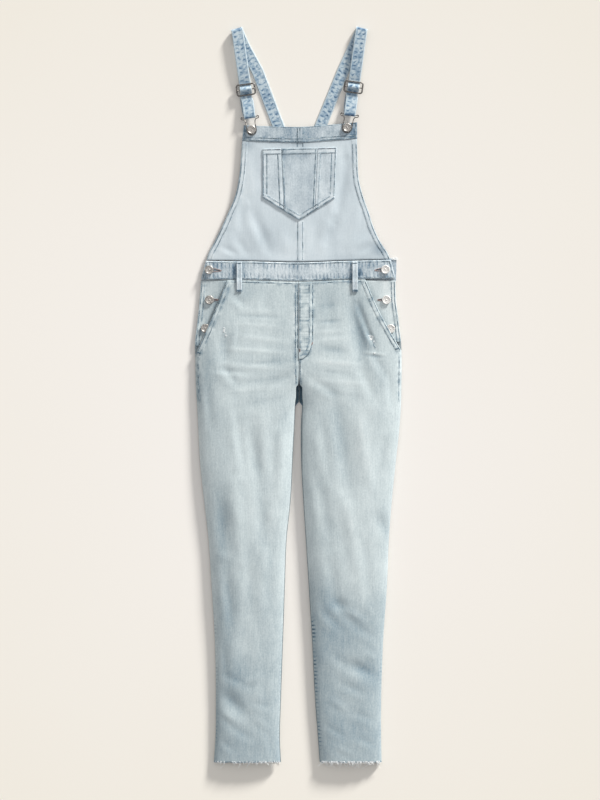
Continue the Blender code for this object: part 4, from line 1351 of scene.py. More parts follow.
@dataclass
class Legs:
    """The two fronts and the two backs, with the slanted pocket hems and the centre seam.

    Fields:
        columns: cells across a front.
        rows: cells along a front.
        hem_band: the width of a pocket mouth's hem.
        notch_top: where the fronts part at the crotch.
        notch_edge: how far each front draws back there.
        areas: of a front, in square metres, and then of a back.
    """
    columns: int = 84
    rows: int = 400
    hem_band: float = 9.2
    notch_top: float = 19.0
    notch_edge: tuple[float, float] = (-5.0, 7.5)
    areas: tuple[tuple[float, float], ...] = ((0.152, 0.156), (0.153, 0.156))

    def edges(self, side: Side, y: Array) -> tuple[Array, Array]:
        """The outer and inner edges of a front at the given heights.

        Args:
            side: which leg.
            y: heights on the body.

        Returns:
            The x of the outer edge and of the inner one, parted at the crotch.
        """
        slant = SLANTS[side]
        outer, inner = leg_edges(side, y)
        inner = inner + side.value * (GAP / 2 + CLOTH * (1 - ease(*SEAT, y)))
        parted = blend(inner, side.pick(self.notch_edge), 1 - ease(self.notch_top - 4, self.notch_top + 3, y))
        inner = side.pick((np.minimum, np.maximum))(inner, parted)
        return np.where(y > slant.y_foot, slant_x(slant, y), outer), inner

    def wash(self, side: Side, x: Array, y: Array) -> Array:
        """The depth of dye on a front, with painted light and shade: down the leg, the patches, the seams' edges, a
        painted lightening of the slope turned from the light, and the raw hem.

        Args:
            side: which leg.
            x: places across.
            y: places along.

        Returns:
            The depth, 0 faded and 1 deep.
        """
        outer, inner = leg_edges(side, y)
        from_side, from_inseam = np.abs(x - outer), np.abs(x - inner)
        depth = smooth(WASH_HEIGHTS, side.pick(LEG_WASH), y) + tones(x, y)
        depth = depth + 0.06 * bell(from_side, 6) + 0.04 * bell(from_inseam, 6) * (1 - ease(-20, 20, y))
        rope = (1.5 * ticks(y + 2 * noise(x, y, 6, 12, 54), 0 * x, 7.6, 51) - 0.12) * noise(0 * x, y, 60, 34, 53)
        low = 1 - ease(-440, -380, y)
        if side is Side.RIGHT:
            # painted light: lighter along the side seam, offsetting the shade of the slope turned away from the key
            # light
            depth = depth - 0.22 * bell(from_side, 13) * window(-560, -20, 50, y)
            depth = depth + (0.40 * bell(from_side - 1.5, 3) + 0.36 * bell(from_inseam - 1.5, 3)) * rope * low
        else:
            # painted light: lighter along the inseam, offsetting the shade of the slope turned away from the key light
            depth = depth - 0.14 * bell(from_inseam, 13) * window(-350, -50, 30, y)
            depth = depth + (1.35 * bell(from_inseam - 3, 4) + 0.3 * bell(from_side - 1.5, 3)) * rope * low
        return depth + 0.30 * bell(y - HEM_Y, 2.5) + 0.06 * (noise(x, y, 30, 44, 52) - 0.5)

    def front(self, side: Side) -> None:
        """Make a front, from the waistband to its raw hem.

        The grid runs straight from edge to edge. Its top rows bend to the waistband's foot, and the
        hem wanders by noise 4 mm apart.

        Args:
            side: which leg.
        """
        slant, sign = SLANTS[side], side.value
        u, v = grid(self.columns, self.rows, 0.25)
        y = HEM_Y + (WAIST_Y - HEM_Y) * v
        for _ in range(2):
            low, high = self.edges(side, y)[::-sign]
            x = blend(low, high, u)
            rise = edge_y(WAISTBAND_FOOT, x) - BAND_CLEARANCE - WAIST_Y
            y = HEM_Y + (WAIST_Y - HEM_Y) * v
            y = y + rise * ease(150, WAIST_Y, y)
        y = y - 2.2 * (noise(x, 0 * x, 4, 60, 61 + sign) - 0.45) * (1 - ease(HEM_Y, HEM_Y + 9, y))

        mouth_y = np.linspace(slant.y_foot + 2, slant.y_top - 2, 60)
        mouth = seam(slant_x(slant, mouth_y), mouth_y)
        waist_x = np.linspace(slant.x_top - sign * 10, sign * 3, 60)
        hip_y = np.linspace(slant.y_foot - 4, -8, 40)
        lines = [beside(mouth, sign * 1.9), beside(mouth, sign * 8.4),
                 seam(waist_x, edge_y(WAISTBAND_FOOT, waist_x) - 4.6),
                 seam(leg_edges(side, hip_y)[0] - sign * 5.2, hip_y)]
        if side is Side.RIGHT:
            lines += [straight([(-6.0, 218), (-6.0, 60), (-4.6, 24)]), straight([(-1.8, 218), (-1.8, 92)])]
        else:
            lines += [even_path([(27.4, 217), (27.4, 114), (25.8, 98), (20.5, 83), (11, 72.5), (1, 68.4)], LINE_STEP),
                      straight([(3.0, 66), (3.4, 46), (5.4, 24)])]

        def raised(x: Array, y: Array) -> Array:
            """Hems and felled seams are two more layers: the pocket mouth's band and the centre seam's.

            Args:
                x: places across.
                y: places along.

            Returns:
                How much they thicken the cloth.
            """
            inward = sign * (slant_x(slant, y) - x) * 0.92
            hem = window(0, self.hem_band, 0.8, inward) * (y > slant.y_foot)
            centre = (1 - ease(4, 6.5, np.abs(x - 0.5))) * ease(20, 30, y)
            return 0.55 * hem + 0.3 * centre

        tacks = side.pick(([], [((26.6, 101), (0.35, 1), 6.0)]))
        panel = Panel("leg_front_" + side.letter, Slot.DENIM, FINISHES.denim, CLOTH,
                      lambda x, y: leg_height(side, x, y), raised, lines, tacks=tacks)
        panel.build(x, y, self.wash(side, x, y), (0.208, 0.942), side.pick(self.areas[0]),
                    ["denim_leg_back_" + side.letter])
        foot = (float(slant_x(slant, np.array(slant.y_foot + 5))) - sign * 5, slant.y_foot + 4)
        tack(foot, (1, 0.3 * sign), 8.0, panel.top, 3.0).washed(1.3).make(
            "tacks_pocket_mouth_" + side.letter, FINISHES.line, Slot.DENIM)

    def back(self, side: Side) -> None:
        """Make a back, plain, with painted shade inside the leg where it shows at the crotch.

        Args:
            side: which leg.
        """
        u, v = grid(26, 130)
        y = HEM_Y + (WAIST_Y - 1 - HEM_Y) * v
        outer, inner = leg_edges(side, y)
        inner = blend(inner + side.value * (GAP / 2 + 0.1), 1 + side.value * 0.4, window(-14, 60, 2, y))
        low, high = (outer, inner)[::-side.value]
        x = blend(low, high, u)
        # the 0.72 band at the crotch is painted shade inside the leg
        wash = 0.45 + 0.3 * noise(x, y, 60, 90, 71) + 0.72 * bell(np.abs(x - 1), 16) * window(-18, 40, 5, y)
        panel = Panel("leg_back_" + side.letter, Slot.DENIM, FINISHES.denim, CLOTH,
                      lambda x, y: back_height(side, x, y))
        panel.build(x, y, wash, (0.205, 0.940), side.pick(self.areas[1]))

    def build(self) -> None:
        """Make the backs and then the fronts on them."""
        for side in Side:
            self.back(side)
            self.front(side)


def keyhole(tip: Place, eye: Place, top: Height, eye_radius: float = 3.2) -> tuple[Solid, Solid]:
    """A buttonhole: a slit edged with close thread, rounded at the eye.

    Args:
        tip: its closed end.
        eye: the middle of its round end.
        top: the height of the cloth's upper side.
        eye_radius: of its round end.

    Returns:
        The thread round it, and the slit as a dark ribbon of painted shade.
    """
    tip, eye = np.asarray(tip, float), np.asarray(eye, float)
    run = (tip - eye) / np.linalg.norm(tip - eye)
    square = np.array([-run[1], run[0]])
    turn = np.radians(np.linspace(60, 300, 12))[:, None]
    round_end = eye + eye_radius * (np.cos(turn) * run + np.sin(turn) * square)
    outline = even_path(np.concatenate([[tip + square * 0.8], round_end, [tip - square * 0.8]]), 0.8, closed=True)[:-1]
    place = np.column_stack([outline, top(outline[:, 0], outline[:, 1]) + 0.12])
    # the slit is a dark ribbon of painted shade
    slit = straight([eye - run * 1.5, tip - run * 0.8], 1.5)
    return tube(place, 0.62, 6, closed=True), pressed_line(slit, top, 1.6).washed(1.5)


def sew_buttonholes(name: str, slot: Slot, holes: Sequence[tuple[Solid, Solid]]) -> None:
    """Make the threads of some buttonholes as one piece, and their slits as another.

    Args:
        name: the end of both pieces' names.
        slot: the record's slot.
        holes: the thread and the slit of each.
    """
    rings, slits = zip(*holes)
    Solid.joined(rings).make("buttonhole_thread_" + name, FINISHES.tobacco, slot)
    Solid.joined(slits).make("buttonhole_slit_" + name, FINISHES.line, slot)


@dataclass
class Hips:
    """The hip facings inside the pocket mouths, the side plackets under them and the mock fly.

    Fields:
        buttons: the places of each side's lower buttons, right then left.
        areas: of a facing, in square metres.
        base_wash: the depth of dye of a facing.
        fly_reach: the fly's width.
        fly_heights: the fly's foot, where it starts to bend, and its top.
    """
    buttons: tuple[tuple[Place, ...], ...] = (((-173.5, 186.2), (-181.7, 130.8)), ((171.2, 186.2), (179.5, 130.0)))
    areas: tuple[float, float] = (0.0053, 0.0048)
    base_wash: tuple[float, float] = (0.37, 0.16)
    fly_reach: float = 25.5
    fly_heights: tuple[float, float, float] = (71.0, 112.0, 220.0)

    def facing(self, side: Side) -> None:
        """Make the cloth inside a pocket mouth, stitched to the side seam, with its buttonholes.

        Args:
            side: which hip.
        """
        slant, inwards = SLANTS[side], -side.value
        foot_y = slant.y_foot + FACING_FOOT
        u, v = grid(34, 62)
        y = foot_y + (WAIST_Y + 1 - foot_y) * v
        side_x = leg_edges(side, y)[0]
        lap_x = slant_x(slant, y) + inwards * FACING_LAP
        x = np.minimum(side_x, lap_x) + np.abs(lap_x - side_x) * u
        seam_y = np.linspace(foot_y + 1, WAIST_Y - 1, 60)
        lines = [seam(leg_edges(side, seam_y)[0] + inwards * inset, seam_y) for inset in (2.4, 8.2)]
        # the 0.28 bell along the pocket mouth is painted shadow of its gaping edge on the facing
        wash = side.pick(self.base_wash) + bell(np.abs(slant_x(slant, y) - x), 9) * 0.28 \
            + 0.22 * (noise(x, y, 16, 24, 81) - 0.5) - 0.1 * (1 - ease(2, 10, np.abs(x - side_x)))

        def raised(x: Array, y: Array) -> Array:
            """The side seam's turnings lie between its two lines of stitches."""
            return 0.4 * (1 - ease(7.5, 9.5, np.abs(x - leg_edges(side, y)[0])))

        panel = Panel("hip_facing_" + side.letter, Slot.DENIM, FINISHES.denim, CLOTH,
                      lambda x, y: facing_height(slant, x, y), raised, lines)
        panel.build(x, y, wash, (0.076, 0.128), side.pick(self.areas), ["denim_side_placket_" + side.letter])
        sew_buttonholes(side.letter, Slot.DENIM, [
            keyhole((x + inwards * 16.5, y), (x + inwards * 6, y), panel.top, 2.6) for x, y in side.pick(self.buttons)])

    def placket(self, side: Side) -> None:
        """Make the plain strip that the side buttons are sewn to.

        Args:
            side: which hip.
        """
        foot_y = SLANTS[side].y_foot + FACING_FOOT
        u, v = grid(8, 30)
        y = foot_y + (WAIST_Y - 2 - foot_y) * v
        side_x = leg_edges(side, y)[0]
        x = side_x - side.value * (PLACKET_INSET + PLACKET_WIDTH * side.pick((u, 1 - u)))
        panel = Panel("side_placket_" + side.letter, Slot.DENIM, FINISHES.denim, PLACKET,
                      lambda x, y: CLOTH + GAP + 0 * x)
        panel.build(x, y, 0.6 + 0 * x, (PLACKET_WIDTH * MM, (WAIST_Y - 2 - foot_y) * MM), None,
                    ["denim_leg_back_" + side.letter])

    def fly(self) -> None:
        """Make the mock fly: straight down, then round to the centre seam, puckered across."""
        foot_y, bend_y, top_y = self.fly_heights
        u, v = grid(18, 84)
        y = foot_y + (top_y - foot_y) * v
        round_off = np.clip((bend_y - y) / (bend_y - foot_y + 1), 0, 1)
        x = 0.5 + self.fly_reach * np.sqrt(1 - round_off ** 2) * u
        lines = [even_path([(20.8, 217), (20.8, 114), (19.2, 100), (14.8, 87), (8, 79), (2.4, 76.6)], LINE_STEP),
                 straight([(2.8, 218), (2.8, 92)])]
        wash = 0.36 + 0.30 * (blotch(x, y, 12, 4.5, 93) - 0.45) \
            + 0.60 * ticks(y, 0 * x, 7.0, 91) * (bell(x - 16, 5) + 0.8 * bell(x - 5, 4)) \
            + 0.16 * (noise(x, y, 9, 14, 92) - 0.5) + 0.16 * ease(195, 219, y)

        def under(x: Array, y: Array) -> Array:
            """The left front's upper side, with small puckers across the strip."""
            return leg_height(Side.LEFT, x, y) + CLOTH + 0.3 + GAP + 0.3 * noise(0 * x, y, 60, 7.5, 91)

        panel = Panel("fly_placket", Slot.BAND, FINISHES.denim, FLY, under, lines=lines,
                      tacks=[((2.6, 88), (0, 1), 6.0)], rope=0.5)
        panel.build(x, y, wash, (0.026, 0.149), 0.0036, ["denim_leg_front_l"])

    def build(self) -> None:
        """Make both sides' facings and plackets, and the fly."""
        for side in Side:
            self.placket(side)
            self.facing(side)
        self.fly()


def between(foot: Sequence[Edge], top: Sequence[Edge], u: Array, v: Array) -> tuple[Array, Array]:
    """Places between two edges that run across the garment, straight from one to the other."""
    foot_x, top_x = blend(foot[0].x, foot[-1].x, u), blend(top[0].x, top[-1].x, u)
    return blend(foot_x, top_x, v), blend(edge_y(foot, foot_x), edge_y(top, top_x), v)


@dataclass
class Waist:
    """The front waistband with its buttonholes and belt loops, and the back band under it.

    Fields:
        holes: each buttonhole's closed end and eye.
        loops: each belt loop's leg and place.
        loop_length: of a belt loop's cut.
        rubs: blue marks kept beside the loops and at the ends, as tones.
        frayed: how many threads stand out of the back band's left end.
    """
    holes: tuple[tuple[Place, Place], ...] = (((-151.5, 243.0), (-164.5, 244.2)), ((149.5, 244.0), (161.0, 245.0)))
    loops: tuple[tuple[Side, float], ...] = ((Side.RIGHT, -115.4), (Side.LEFT, 109.8))
    loop_length: float = 60.0
    rubs: tuple[Tone, ...] = tuple(Tone(*row) for row in (
        (-124.5, 243, 4, 13, 0.7), (-106.5, 238, 3.5, 12, 0.25), (101, 240, 4, 16, 0.5), (119, 238, 5, 12, 0.85),
        (-178, 232, 8, 5, 0.22), (175, 232, 8, 6, 0.28), (-150, 250, 14, 6, 0.12), (140, 252, 12, 7, 0.2),
        (0, 228, 40, 5, 0.12), (-150, 244, 34, 20, 0.20), (150, 244, 30, 20, 0.14), (-60, 252, 40, 5, 0.08),
        (60, 228, 34, 5, 0.12), (-40, 242, 22, 10, -0.08), (48, 244, 26, 9, -0.10), (-150, 236, 12, 8, -0.08)))
    frayed: int = 42

    def front(self) -> None:
        """Make the front band: two stitched seams with the cloth drawn up between them."""
        u, v = grid(236, 26, 0.2)
        x, y = between(WAISTBAND_FOOT, WAISTBAND_TOP, u, v)
        foot_x, top_x = np.linspace(-187, 186, 160), np.linspace(-178, 177, 160)
        lines = [seam(foot_x, edge_y(WAISTBAND_FOOT, foot_x) + 2.6), seam(top_x, edge_y(WAISTBAND_TOP, top_x) - 3.0),
                 straight([(-186.0, 229), (-178.4, 258.6)]), straight([(184.8, 231), (177.0, 260.4)])]
        upright = blotch(x, y, 6.2, 24, 101) * 0.6 + blotch(x, y, 3.6, 13, 102) * 0.4
        above, below = y - edge_y(WAISTBAND_FOOT, x), edge_y(WAISTBAND_TOP, x) - y
        drawn = 0.55 + bell(below - 6, 6) + 0.9 * bell(above - 6, 6)
        wash = 0.25 + 0.24 * (upright - 0.44) * drawn + 0.14 * (noise(x, y, 30, 30, 103) - 0.5) \
            + 1.05 * ticks(x, y, 7.4, 104) ** 1.4 * (bell(below - 8, 6) + 0.8 * bell(above - 8, 6))
        wash = wash + patches(self.rubs, x, y)
        panel = Panel("waistband_front", Slot.BAND, FINISHES.band, BAND, waistband_height, lines=lines, rope=0.5)
        panel.build(x, y, wash, (0.380, 0.038), 0.0134, ["denim_waistband_back"])
        sew_buttonholes("band", Slot.BAND, [keyhole(tip, eye, panel.top) for tip, eye in self.holes])

    def back(self) -> None:
        """Make the back band, whose left end shows above the front one, frayed white."""
        u, v = grid(90, 12)
        x, y = between(BACK_BAND_FOOT, BACK_BAND_TOP, u, v)
        panel = Panel("waistband_back", Slot.BAND, FINISHES.band, BACK_BAND,
                      lambda x, y: 0.1 * noise(x, y, 12, 12, 111))
        panel.build(x, y, 0.4 + 0.3 * noise(x, y, 12, 20, 112), (0.380, 0.043), 0.0151)
        seeds = np.random.default_rng(113)
        ranges = ((182, 193), (264.5, 268.5), (0.4, 1), (-0.5, 0.6))
        end_x, end_y, run_x, run_y = (seeds.uniform(low, high, self.frayed) for low, high in ranges)
        fray = threads(np.column_stack([end_x, end_y]), np.column_stack([run_x, run_y]),
                       lambda x, y: 2.4 + 1.2 * noise(x, y, 2, 2, 114), 4.2, 0.3)
        fray.make("band_end_fray", FINISHES.white, Slot.BAND)

    def belt_loop(self, side: Side, x: float) -> None:
        """Make a belt loop: a folded strip with two ridges, over the band and down onto the leg.

        Args:
            side: which leg it is on.
            x: its middle.
        """
        y = np.array([260.0, 259.0, 254, 245, 236, 229, 221, 212, 203, 202])
        lift = np.array([0.1, 0.4, 1.0, 1.6, 1.6, 1.3, 1.2, 0.7, 0.5, 0.2])
        on_band = float(waistband_height(np.array(x), np.array(244.0))) + BAND
        on_leg = float(leg_height(side, np.array(x), np.array(206.0))) + CLOTH
        z = on_band + (on_leg - on_band) * ease(232, 218, y) + GAP + LOOP / 2 + lift
        path = evenly(np.column_stack([np.full(len(y), x), y, z]), 1.2)[::-1]
        across = np.linspace(-1, 1, 15)
        swell = 0.45 * bell(np.abs(across) - 0.62, 0.2) - 0.4 * ease(0.88, 1.0, np.abs(across))
        u, along = np.broadcast_arrays(across[None, :], path[:, 1:2])
        wash = 0.16 + 0.55 * bell(np.abs(u) - 0.28, 0.12) + 0.75 * ease(0.84, 0.98, np.abs(u)) \
            + 0.25 * (noise(x + u * 5, along, 4, 9, 121) - 0.5) + 0.6 * window(200, 206, 1.5, along)
        name = "belt_loop_" + side.letter
        piece = strip(path, np.tile([1.0, 0, 0], (len(path), 1)), LOOP_WIDTH, LOOP, swell, {"wash": wash}).make(
            "denim_" + name, FINISHES.band, Slot.BAND, [name])
        lower = tack((x, 204.6), (1, 0), 9.0, lambda x, y: leg_height(side, x, y) + CLOTH + 2.6, 2.0)
        upper = tack((x, 257.4), (1, 0), 9.0, lambda x, y: on_band + LOOP + 1.2 + 0 * x, 2.0)
        Solid.joined([lower, upper]).washed(1.2).make("tacks_" + name, FINISHES.line, Slot.BAND)

    def build(self) -> None:
        """Make the bands and the loops."""
        self.back()
        self.front()
        for side, x in self.loops:
            self.belt_loop(side, x)


@dataclass
class Bib:
    """The bib with its hemmed sides and centre seam, the band along its top, and the plain back panel.

    Fields:
        hem_lines: how far the two lines of a side hem lie from the edge.
        seam_lines: where the centre seam's lines lie, across.
    """
    hem_lines: tuple[float, float] = (2.0, 9.0)
    seam_lines: tuple[float, float] = (-1.6, 8.4)

    def front(self) -> None:
        """Make the bib's panel."""
        u, v = grid(150, 104)
        foot = edge_y(WAISTBAND_TOP, -175 + 350 * u) + BIB_CLEARANCE
        top = edge_y(BIB_BAND_FOOT, -110 + 224 * u) - GAP
        y = blend(foot, top, v)
        right, left = bib_edges(BIB_ROWS, y)
        x = blend(right, left, u)
        side_y = np.linspace(266, 490, 120)
        lines = [evenly(beside(np.column_stack([edge, side_y]), sign * inset), LINE_STEP)
                 for edge, sign in zip(bib_edges(BIB_ROWS, side_y), (-1, 1)) for inset in self.hem_lines]
        lines += [straight([(place, 264), (place, 338)]) for place in self.seam_lines]
        lines += [straight([(place, 484), (place, 491)]) for place in (-2.3, 8.6)]

        def raised(x: Array, y: Array) -> Array:
            """The side hems and the centre seam are folded double.

            Args:
                x: places across.
                y: places along.

            Returns:
                How much they thicken the cloth.
            """
            right, left = bib_edges(BIB_ROWS, y)
            centre = window(*self.seam_lines, 0.9, x) * (1 - ease(334, 342, y))
            return 0.55 * (1 - ease(9.2, 11.4, np.minimum(x - right, left - x))) + 0.45 * centre

        edge = np.minimum(x - right, left - x)
        wash = 0.19 + tones(x, y) + 0.10 * (noise(x, y, 36, 50, 131) - 0.5) - 0.05 * (1 - ease(8, 12, edge)) \
            + 0.20 * bell(edge, 1.6) + 0.16 * bell(y - foot, 3) + 0.12 * bell(top - y, 4)
        panel = Panel("bib_front", Slot.DENIM, FINISHES.bib, CLOTH, bib_height, raised, lines, rope=0.34)
        panel.build(x, y, wash, (0.358, 0.234), 0.0625, ["denim_bib_back", "denim_strap_r", "denim_strap_l"])

    def band(self) -> None:
        """Make the band along the top, which dips at its middle."""
        u, v = grid(130, 20, 0.25)
        x, y = between(BIB_BAND_FOOT, BIB_BAND_TOP, u, v)
        at = np.linspace(-108, 112, 120)
        foot = edge_y(BIB_BAND_FOOT, at)
        lines = [seam(at, foot + 2.0), seam(at, foot + 7.0)]
        lines += [straight(ends) for ends in (
            [(-2.3, 494), (-2.3, 521.5)], [(2.6, 500), (2.6, 521.5)], [(10.4, 500), (10.4, 522)],
            [(-105.6, 498), (-103.4, 524)], [(111.6, 502), (111.4, 530)])]
        wash = 0.50 + 0.26 * (noise(x, y, 22, 16, 141) - 0.5) + 0.2 * (noise(x, y, 7, 24, 142) - 0.5) \
            + 0.18 * bell(edge_y(BIB_BAND_TOP, x) - y, 2)
        for place, reach, amount in ((109, 7, 0.45), (-14, 12, 0.12), (22, 12, 0.12), (-70, 26, -0.10), (-106, 4, 0.20),
                                     (60, 26, 0.05)):
            wash = wash + amount * bell(x - place, reach)

        def raised(x: Array, y: Array) -> Array:
            """The centre seam is a lap as wide as its lines."""
            return 0.4 * window(-2.3, 10.4, 0.9, x)

        panel = Panel("bib_band", Slot.BAND, FINISHES.band, BIB_BAND, bib_height, raised, lines, rope=0.5)
        panel.build(x, y, wash, (0.224, 0.034), 0.0068, ["denim_bib_front"])
        edging_x = at[2:-1] + 1
        edging = np.column_stack([edging_x, edge_y(BIB_BAND_TOP, edging_x) - 1.3])
        pressed_line(edging, panel.top, 0.9).make("pressed_edge_bib_band", FINISHES.line, Slot.BAND)

    def back(self) -> None:
        """Make the plain back panel under the bib."""
        u, v = grid(40, 60)
        foot = edge_y(BACK_BAND_TOP, -169 + 340 * u) + GAP + 1
        y = foot + (BACK_BIB_ROWS[-1].y - foot) * v
        right, left = bib_edges(BACK_BIB_ROWS, y)
        panel = Panel("bib_back", Slot.DENIM, FINISHES.denim, CLOTH, lambda x, y: 0.1 * noise(x, y, 20, 20, 151))
        x = blend(right, left, u)
        panel.build(x, y, 0.35 + 0.2 * noise(x, y, 30, 40, 152), (0.342, 0.208), 0.0388)


class PocketPanel(NamedTuple):
    """A panel of the chest pocket, by its four corners across."""
    name: str
    left_foot: float
    right_foot: float
    left_top: float
    right_top: float
    wash: float
    columns: int
    flat: Place
    area: float


@dataclass
class ChestPocket:
    """The chest pocket: a pentagon of three panels with lapped seams, a hemmed top and a double row round it.

    Fields:
        panels: the three panels.
        point: the lowest place of the pocket.
        side_drop: how fast the foot climbs from there.
        top_y: the height of the top edge, in the middle.
        top_tilt: how fast it climbs to the left.
        clearance: from the bib.
        hem: the depth of the top hem.
        insets: how far the two rows round the foot lie from it.
    """
    panels: tuple[PocketPanel, ...] = (
        PocketPanel("pocket_side_r", -70.5, -29.0, -70.5, -34.0, 0.24, 34, (0.042, 0.122), 0.0041),
        PocketPanel("pocket_centre", -29.0, 31.5, -34.0, 37.0, 0.39, 52, (0.071, 0.142), 0.0085),
        PocketPanel("pocket_side_l", 31.5, 70.5, 37.0, 74.0, 0.28, 34, (0.042, 0.122), 0.0041))
    point: Edge = Edge(1, 341)
    side_drop: float = 0.62
    top_y: float = 481.5
    top_tilt: float = 0.021
    clearance: float = 0.45
    hem: float = 10.4
    insets: tuple[float, float] = (2.0, 9.2)

    def foot_y(self, x: Array) -> Array:
        """The lower edge, which climbs to both sides of the point."""
        return self.point.y + self.side_drop * np.abs(x - self.point.x)

    def lines(self, part: PocketPanel) -> tuple[list[Array], list[Array]]:
        """The rows of stitches on one panel.

        Args:
            part: the panel.

        Returns:
            The rows round it and down its seams, and the tobacco ones.
        """
        foot_x = np.linspace(part.left_foot + 0.4, part.right_foot - 0.4, 50)
        rows = []
        for inset in self.insets:
            clear = foot_x[(foot_x > -70.5 + inset) & (foot_x < 71.5 - inset)]
            rows.append(seam(clear, self.foot_y(clear) + inset))
        edge, hem = self.top_y - 2.6, self.top_y - self.hem
        foot = self.foot_y(np.array(30.0)) + 4
        rows += [straight(ends) for ends in {
            "pocket_side_r": ([(-68.6, 388), (-68.6, edge)], [(-61.6, 392), (-61.6, hem)],
                              [(-40.6, hem), (-36.2, foot + 6)]),
            "pocket_centre": ([(-31.0, edge), (-26.2, foot)], [(33.8, edge), (28.4, foot)]),
            "pocket_side_l": ([(68.8, 388), (72.0, edge)], [(61.8, 392), (64.6, hem)], [(42.8, hem), (37.6, foot + 6)]),
        }[part.name]]
        top_x = np.linspace(part.left_top + 1, part.right_top - 1, 30)
        upper, lower = (np.column_stack([top_x, self.top_y + self.top_tilt * top_x - down]) for down in (2.0, self.hem))
        return (rows + [lower, upper], []) if part.name == "pocket_centre" else (rows + [lower], [upper])

    def raised(self, x: Array, y: Array) -> Array:
        """The top hem, the turned edges and the lapped seams stand above the rest.

        Args:
            x: places across.
            y: places along.

        Returns:
            How much they thicken the cloth.
        """
        top_hem = 1 - ease(self.hem, self.hem + 2, self.top_y + self.top_tilt * x - y)
        turned_edge = 1 - ease(8.5, 11, y - self.foot_y(x))
        share = (y - 360) / 121
        seam_r, seam_l = x + 29 + 5 * share, x - 31.5 - 5.5 * share
        laps = np.maximum(window(-6.5, 3, 0.8, seam_r), window(-3, 6.5, 0.8, seam_l))
        return 0.45 * np.maximum(np.maximum(top_hem, turned_edge), laps)

    def build(self) -> None:
        """Make the three panels on the bib."""
        for part in self.panels:
            u, v = grid(part.columns, 84, 0.25)
            foot_x = part.left_foot + GAP / 2 + (part.right_foot - part.left_foot - GAP) * u
            top_x = part.left_top + GAP / 2 + (part.right_top - part.left_top - GAP) * u
            x = blend(foot_x, top_x, v)
            y = blend(self.foot_y(foot_x), self.top_y + self.top_tilt * top_x, v)
            lines, tobacco = self.lines(part)
            below, above = self.top_y + self.top_tilt * x - y, y - self.foot_y(x)
            wash = part.wash + 0.22 * (noise(x, y, 14, 26, 161) - 0.5) + 0.12 * (noise(x, y, 5, 40, 162) - 0.5) \
                - 0.14 * bell(below - 5.5, 4) - 0.10 * bell(above - 5.6, 3.4) + 0.22 * bell(above, 1.6)
            if part.name == "pocket_centre":
                wash = wash + 0.06 * ease(380, 470, y) + 0.12 * bell(below - 15, 7) * bell(x, 26)
            panel = Panel(part.name, Slot.POCKET, FINISHES.pocket, POCKET,
                          lambda x, y: bib_height(x, y) + CLOTH + self.clearance, self.raised, lines, tobacco,
                          rope=0.36)
            panel.build(x, y, wash, part.flat, part.area, ["denim_bib_front"])


# ---------------------------------------------------------------- straps, buckles and buttons

class StrapPlan(NamedTuple):
    """Where one strap runs; a turn is the angle of its width from +X, in degrees."""
    side: Side
    x_end: float
    y_end: float
    turn_back: float
    x_rise: float
    y_rise: float
    x_fold: float
    y_fold: float
    x_bar: float
    y_bar: float
    turn_front: float
    x_button: float
    y_button: float

    @property
    def crease_turn(self) -> float:
        """The angle of the fold at the shoulder."""
        return -self.side.value * CREASE_TURN

    @property
    def run(self) -> Array:
        """From the hook's bar to the fold, flat."""
        return np.array([self.x_fold - self.x_bar, self.y_fold - self.y_bar])


STRAP_PLANS = [
    StrapPlan(Side.RIGHT, -11.8, 452, 20.6, -107.2, 704.4, -119.4, 710.2, -95.0, 542.0, 8.1, -91.5, 517.3),
    StrapPlan(Side.LEFT, 13.2, 452, -22.1, 117.2, 707.2, 122.4, 711.2, 99.7, 547.0, -7.7, 94.6, 521.6),
]
CREASE_TURN = 16.0
FOLD_RADIUS = 4.2
BAR_Z = 8.2          # the hook's bar
SLIDER_Z = 7.5
SLIDER_AT = 54.0     # from the hook's bar
SLIDER_REACH = 10.5
SLIDER_HALF_WIDTH = 17.6
WRAP = WIRE + GAP + STRAP / 2


def turned(angle: float) -> tuple[Array, Array]:
    """The strap's width direction and its upward run, for a turn in degrees."""
    turn = math.radians(angle)
    return np.array([math.cos(turn), math.sin(turn), 0]), np.array([-math.sin(turn), math.cos(turn), 0])


def arc(centre_s: float, centre_z: float, radius: float, start: float, end: float, count: int) -> list[Place]:
    """Places on an arc in the strap's own side view; angles in degrees from the strap's upward run."""
    angles = np.radians(np.linspace(start, end, count))
    return [(centre_s + radius * math.cos(a), centre_z + radius * math.sin(a)) for a in angles]


def softened(line: Array, passes: int) -> Array:
    """A line with each place drawn towards its neighbours, a quarter of each, several times over.

    Args:
        line: its places.
        passes: how many times.

    Returns:
        The softened line, with the same ends.
    """
    for _ in range(passes):
        line = np.concatenate([line[:1], (line[:-2] + 2 * line[1:-1] + line[2:]) / 4, line[-1:]])
    return line


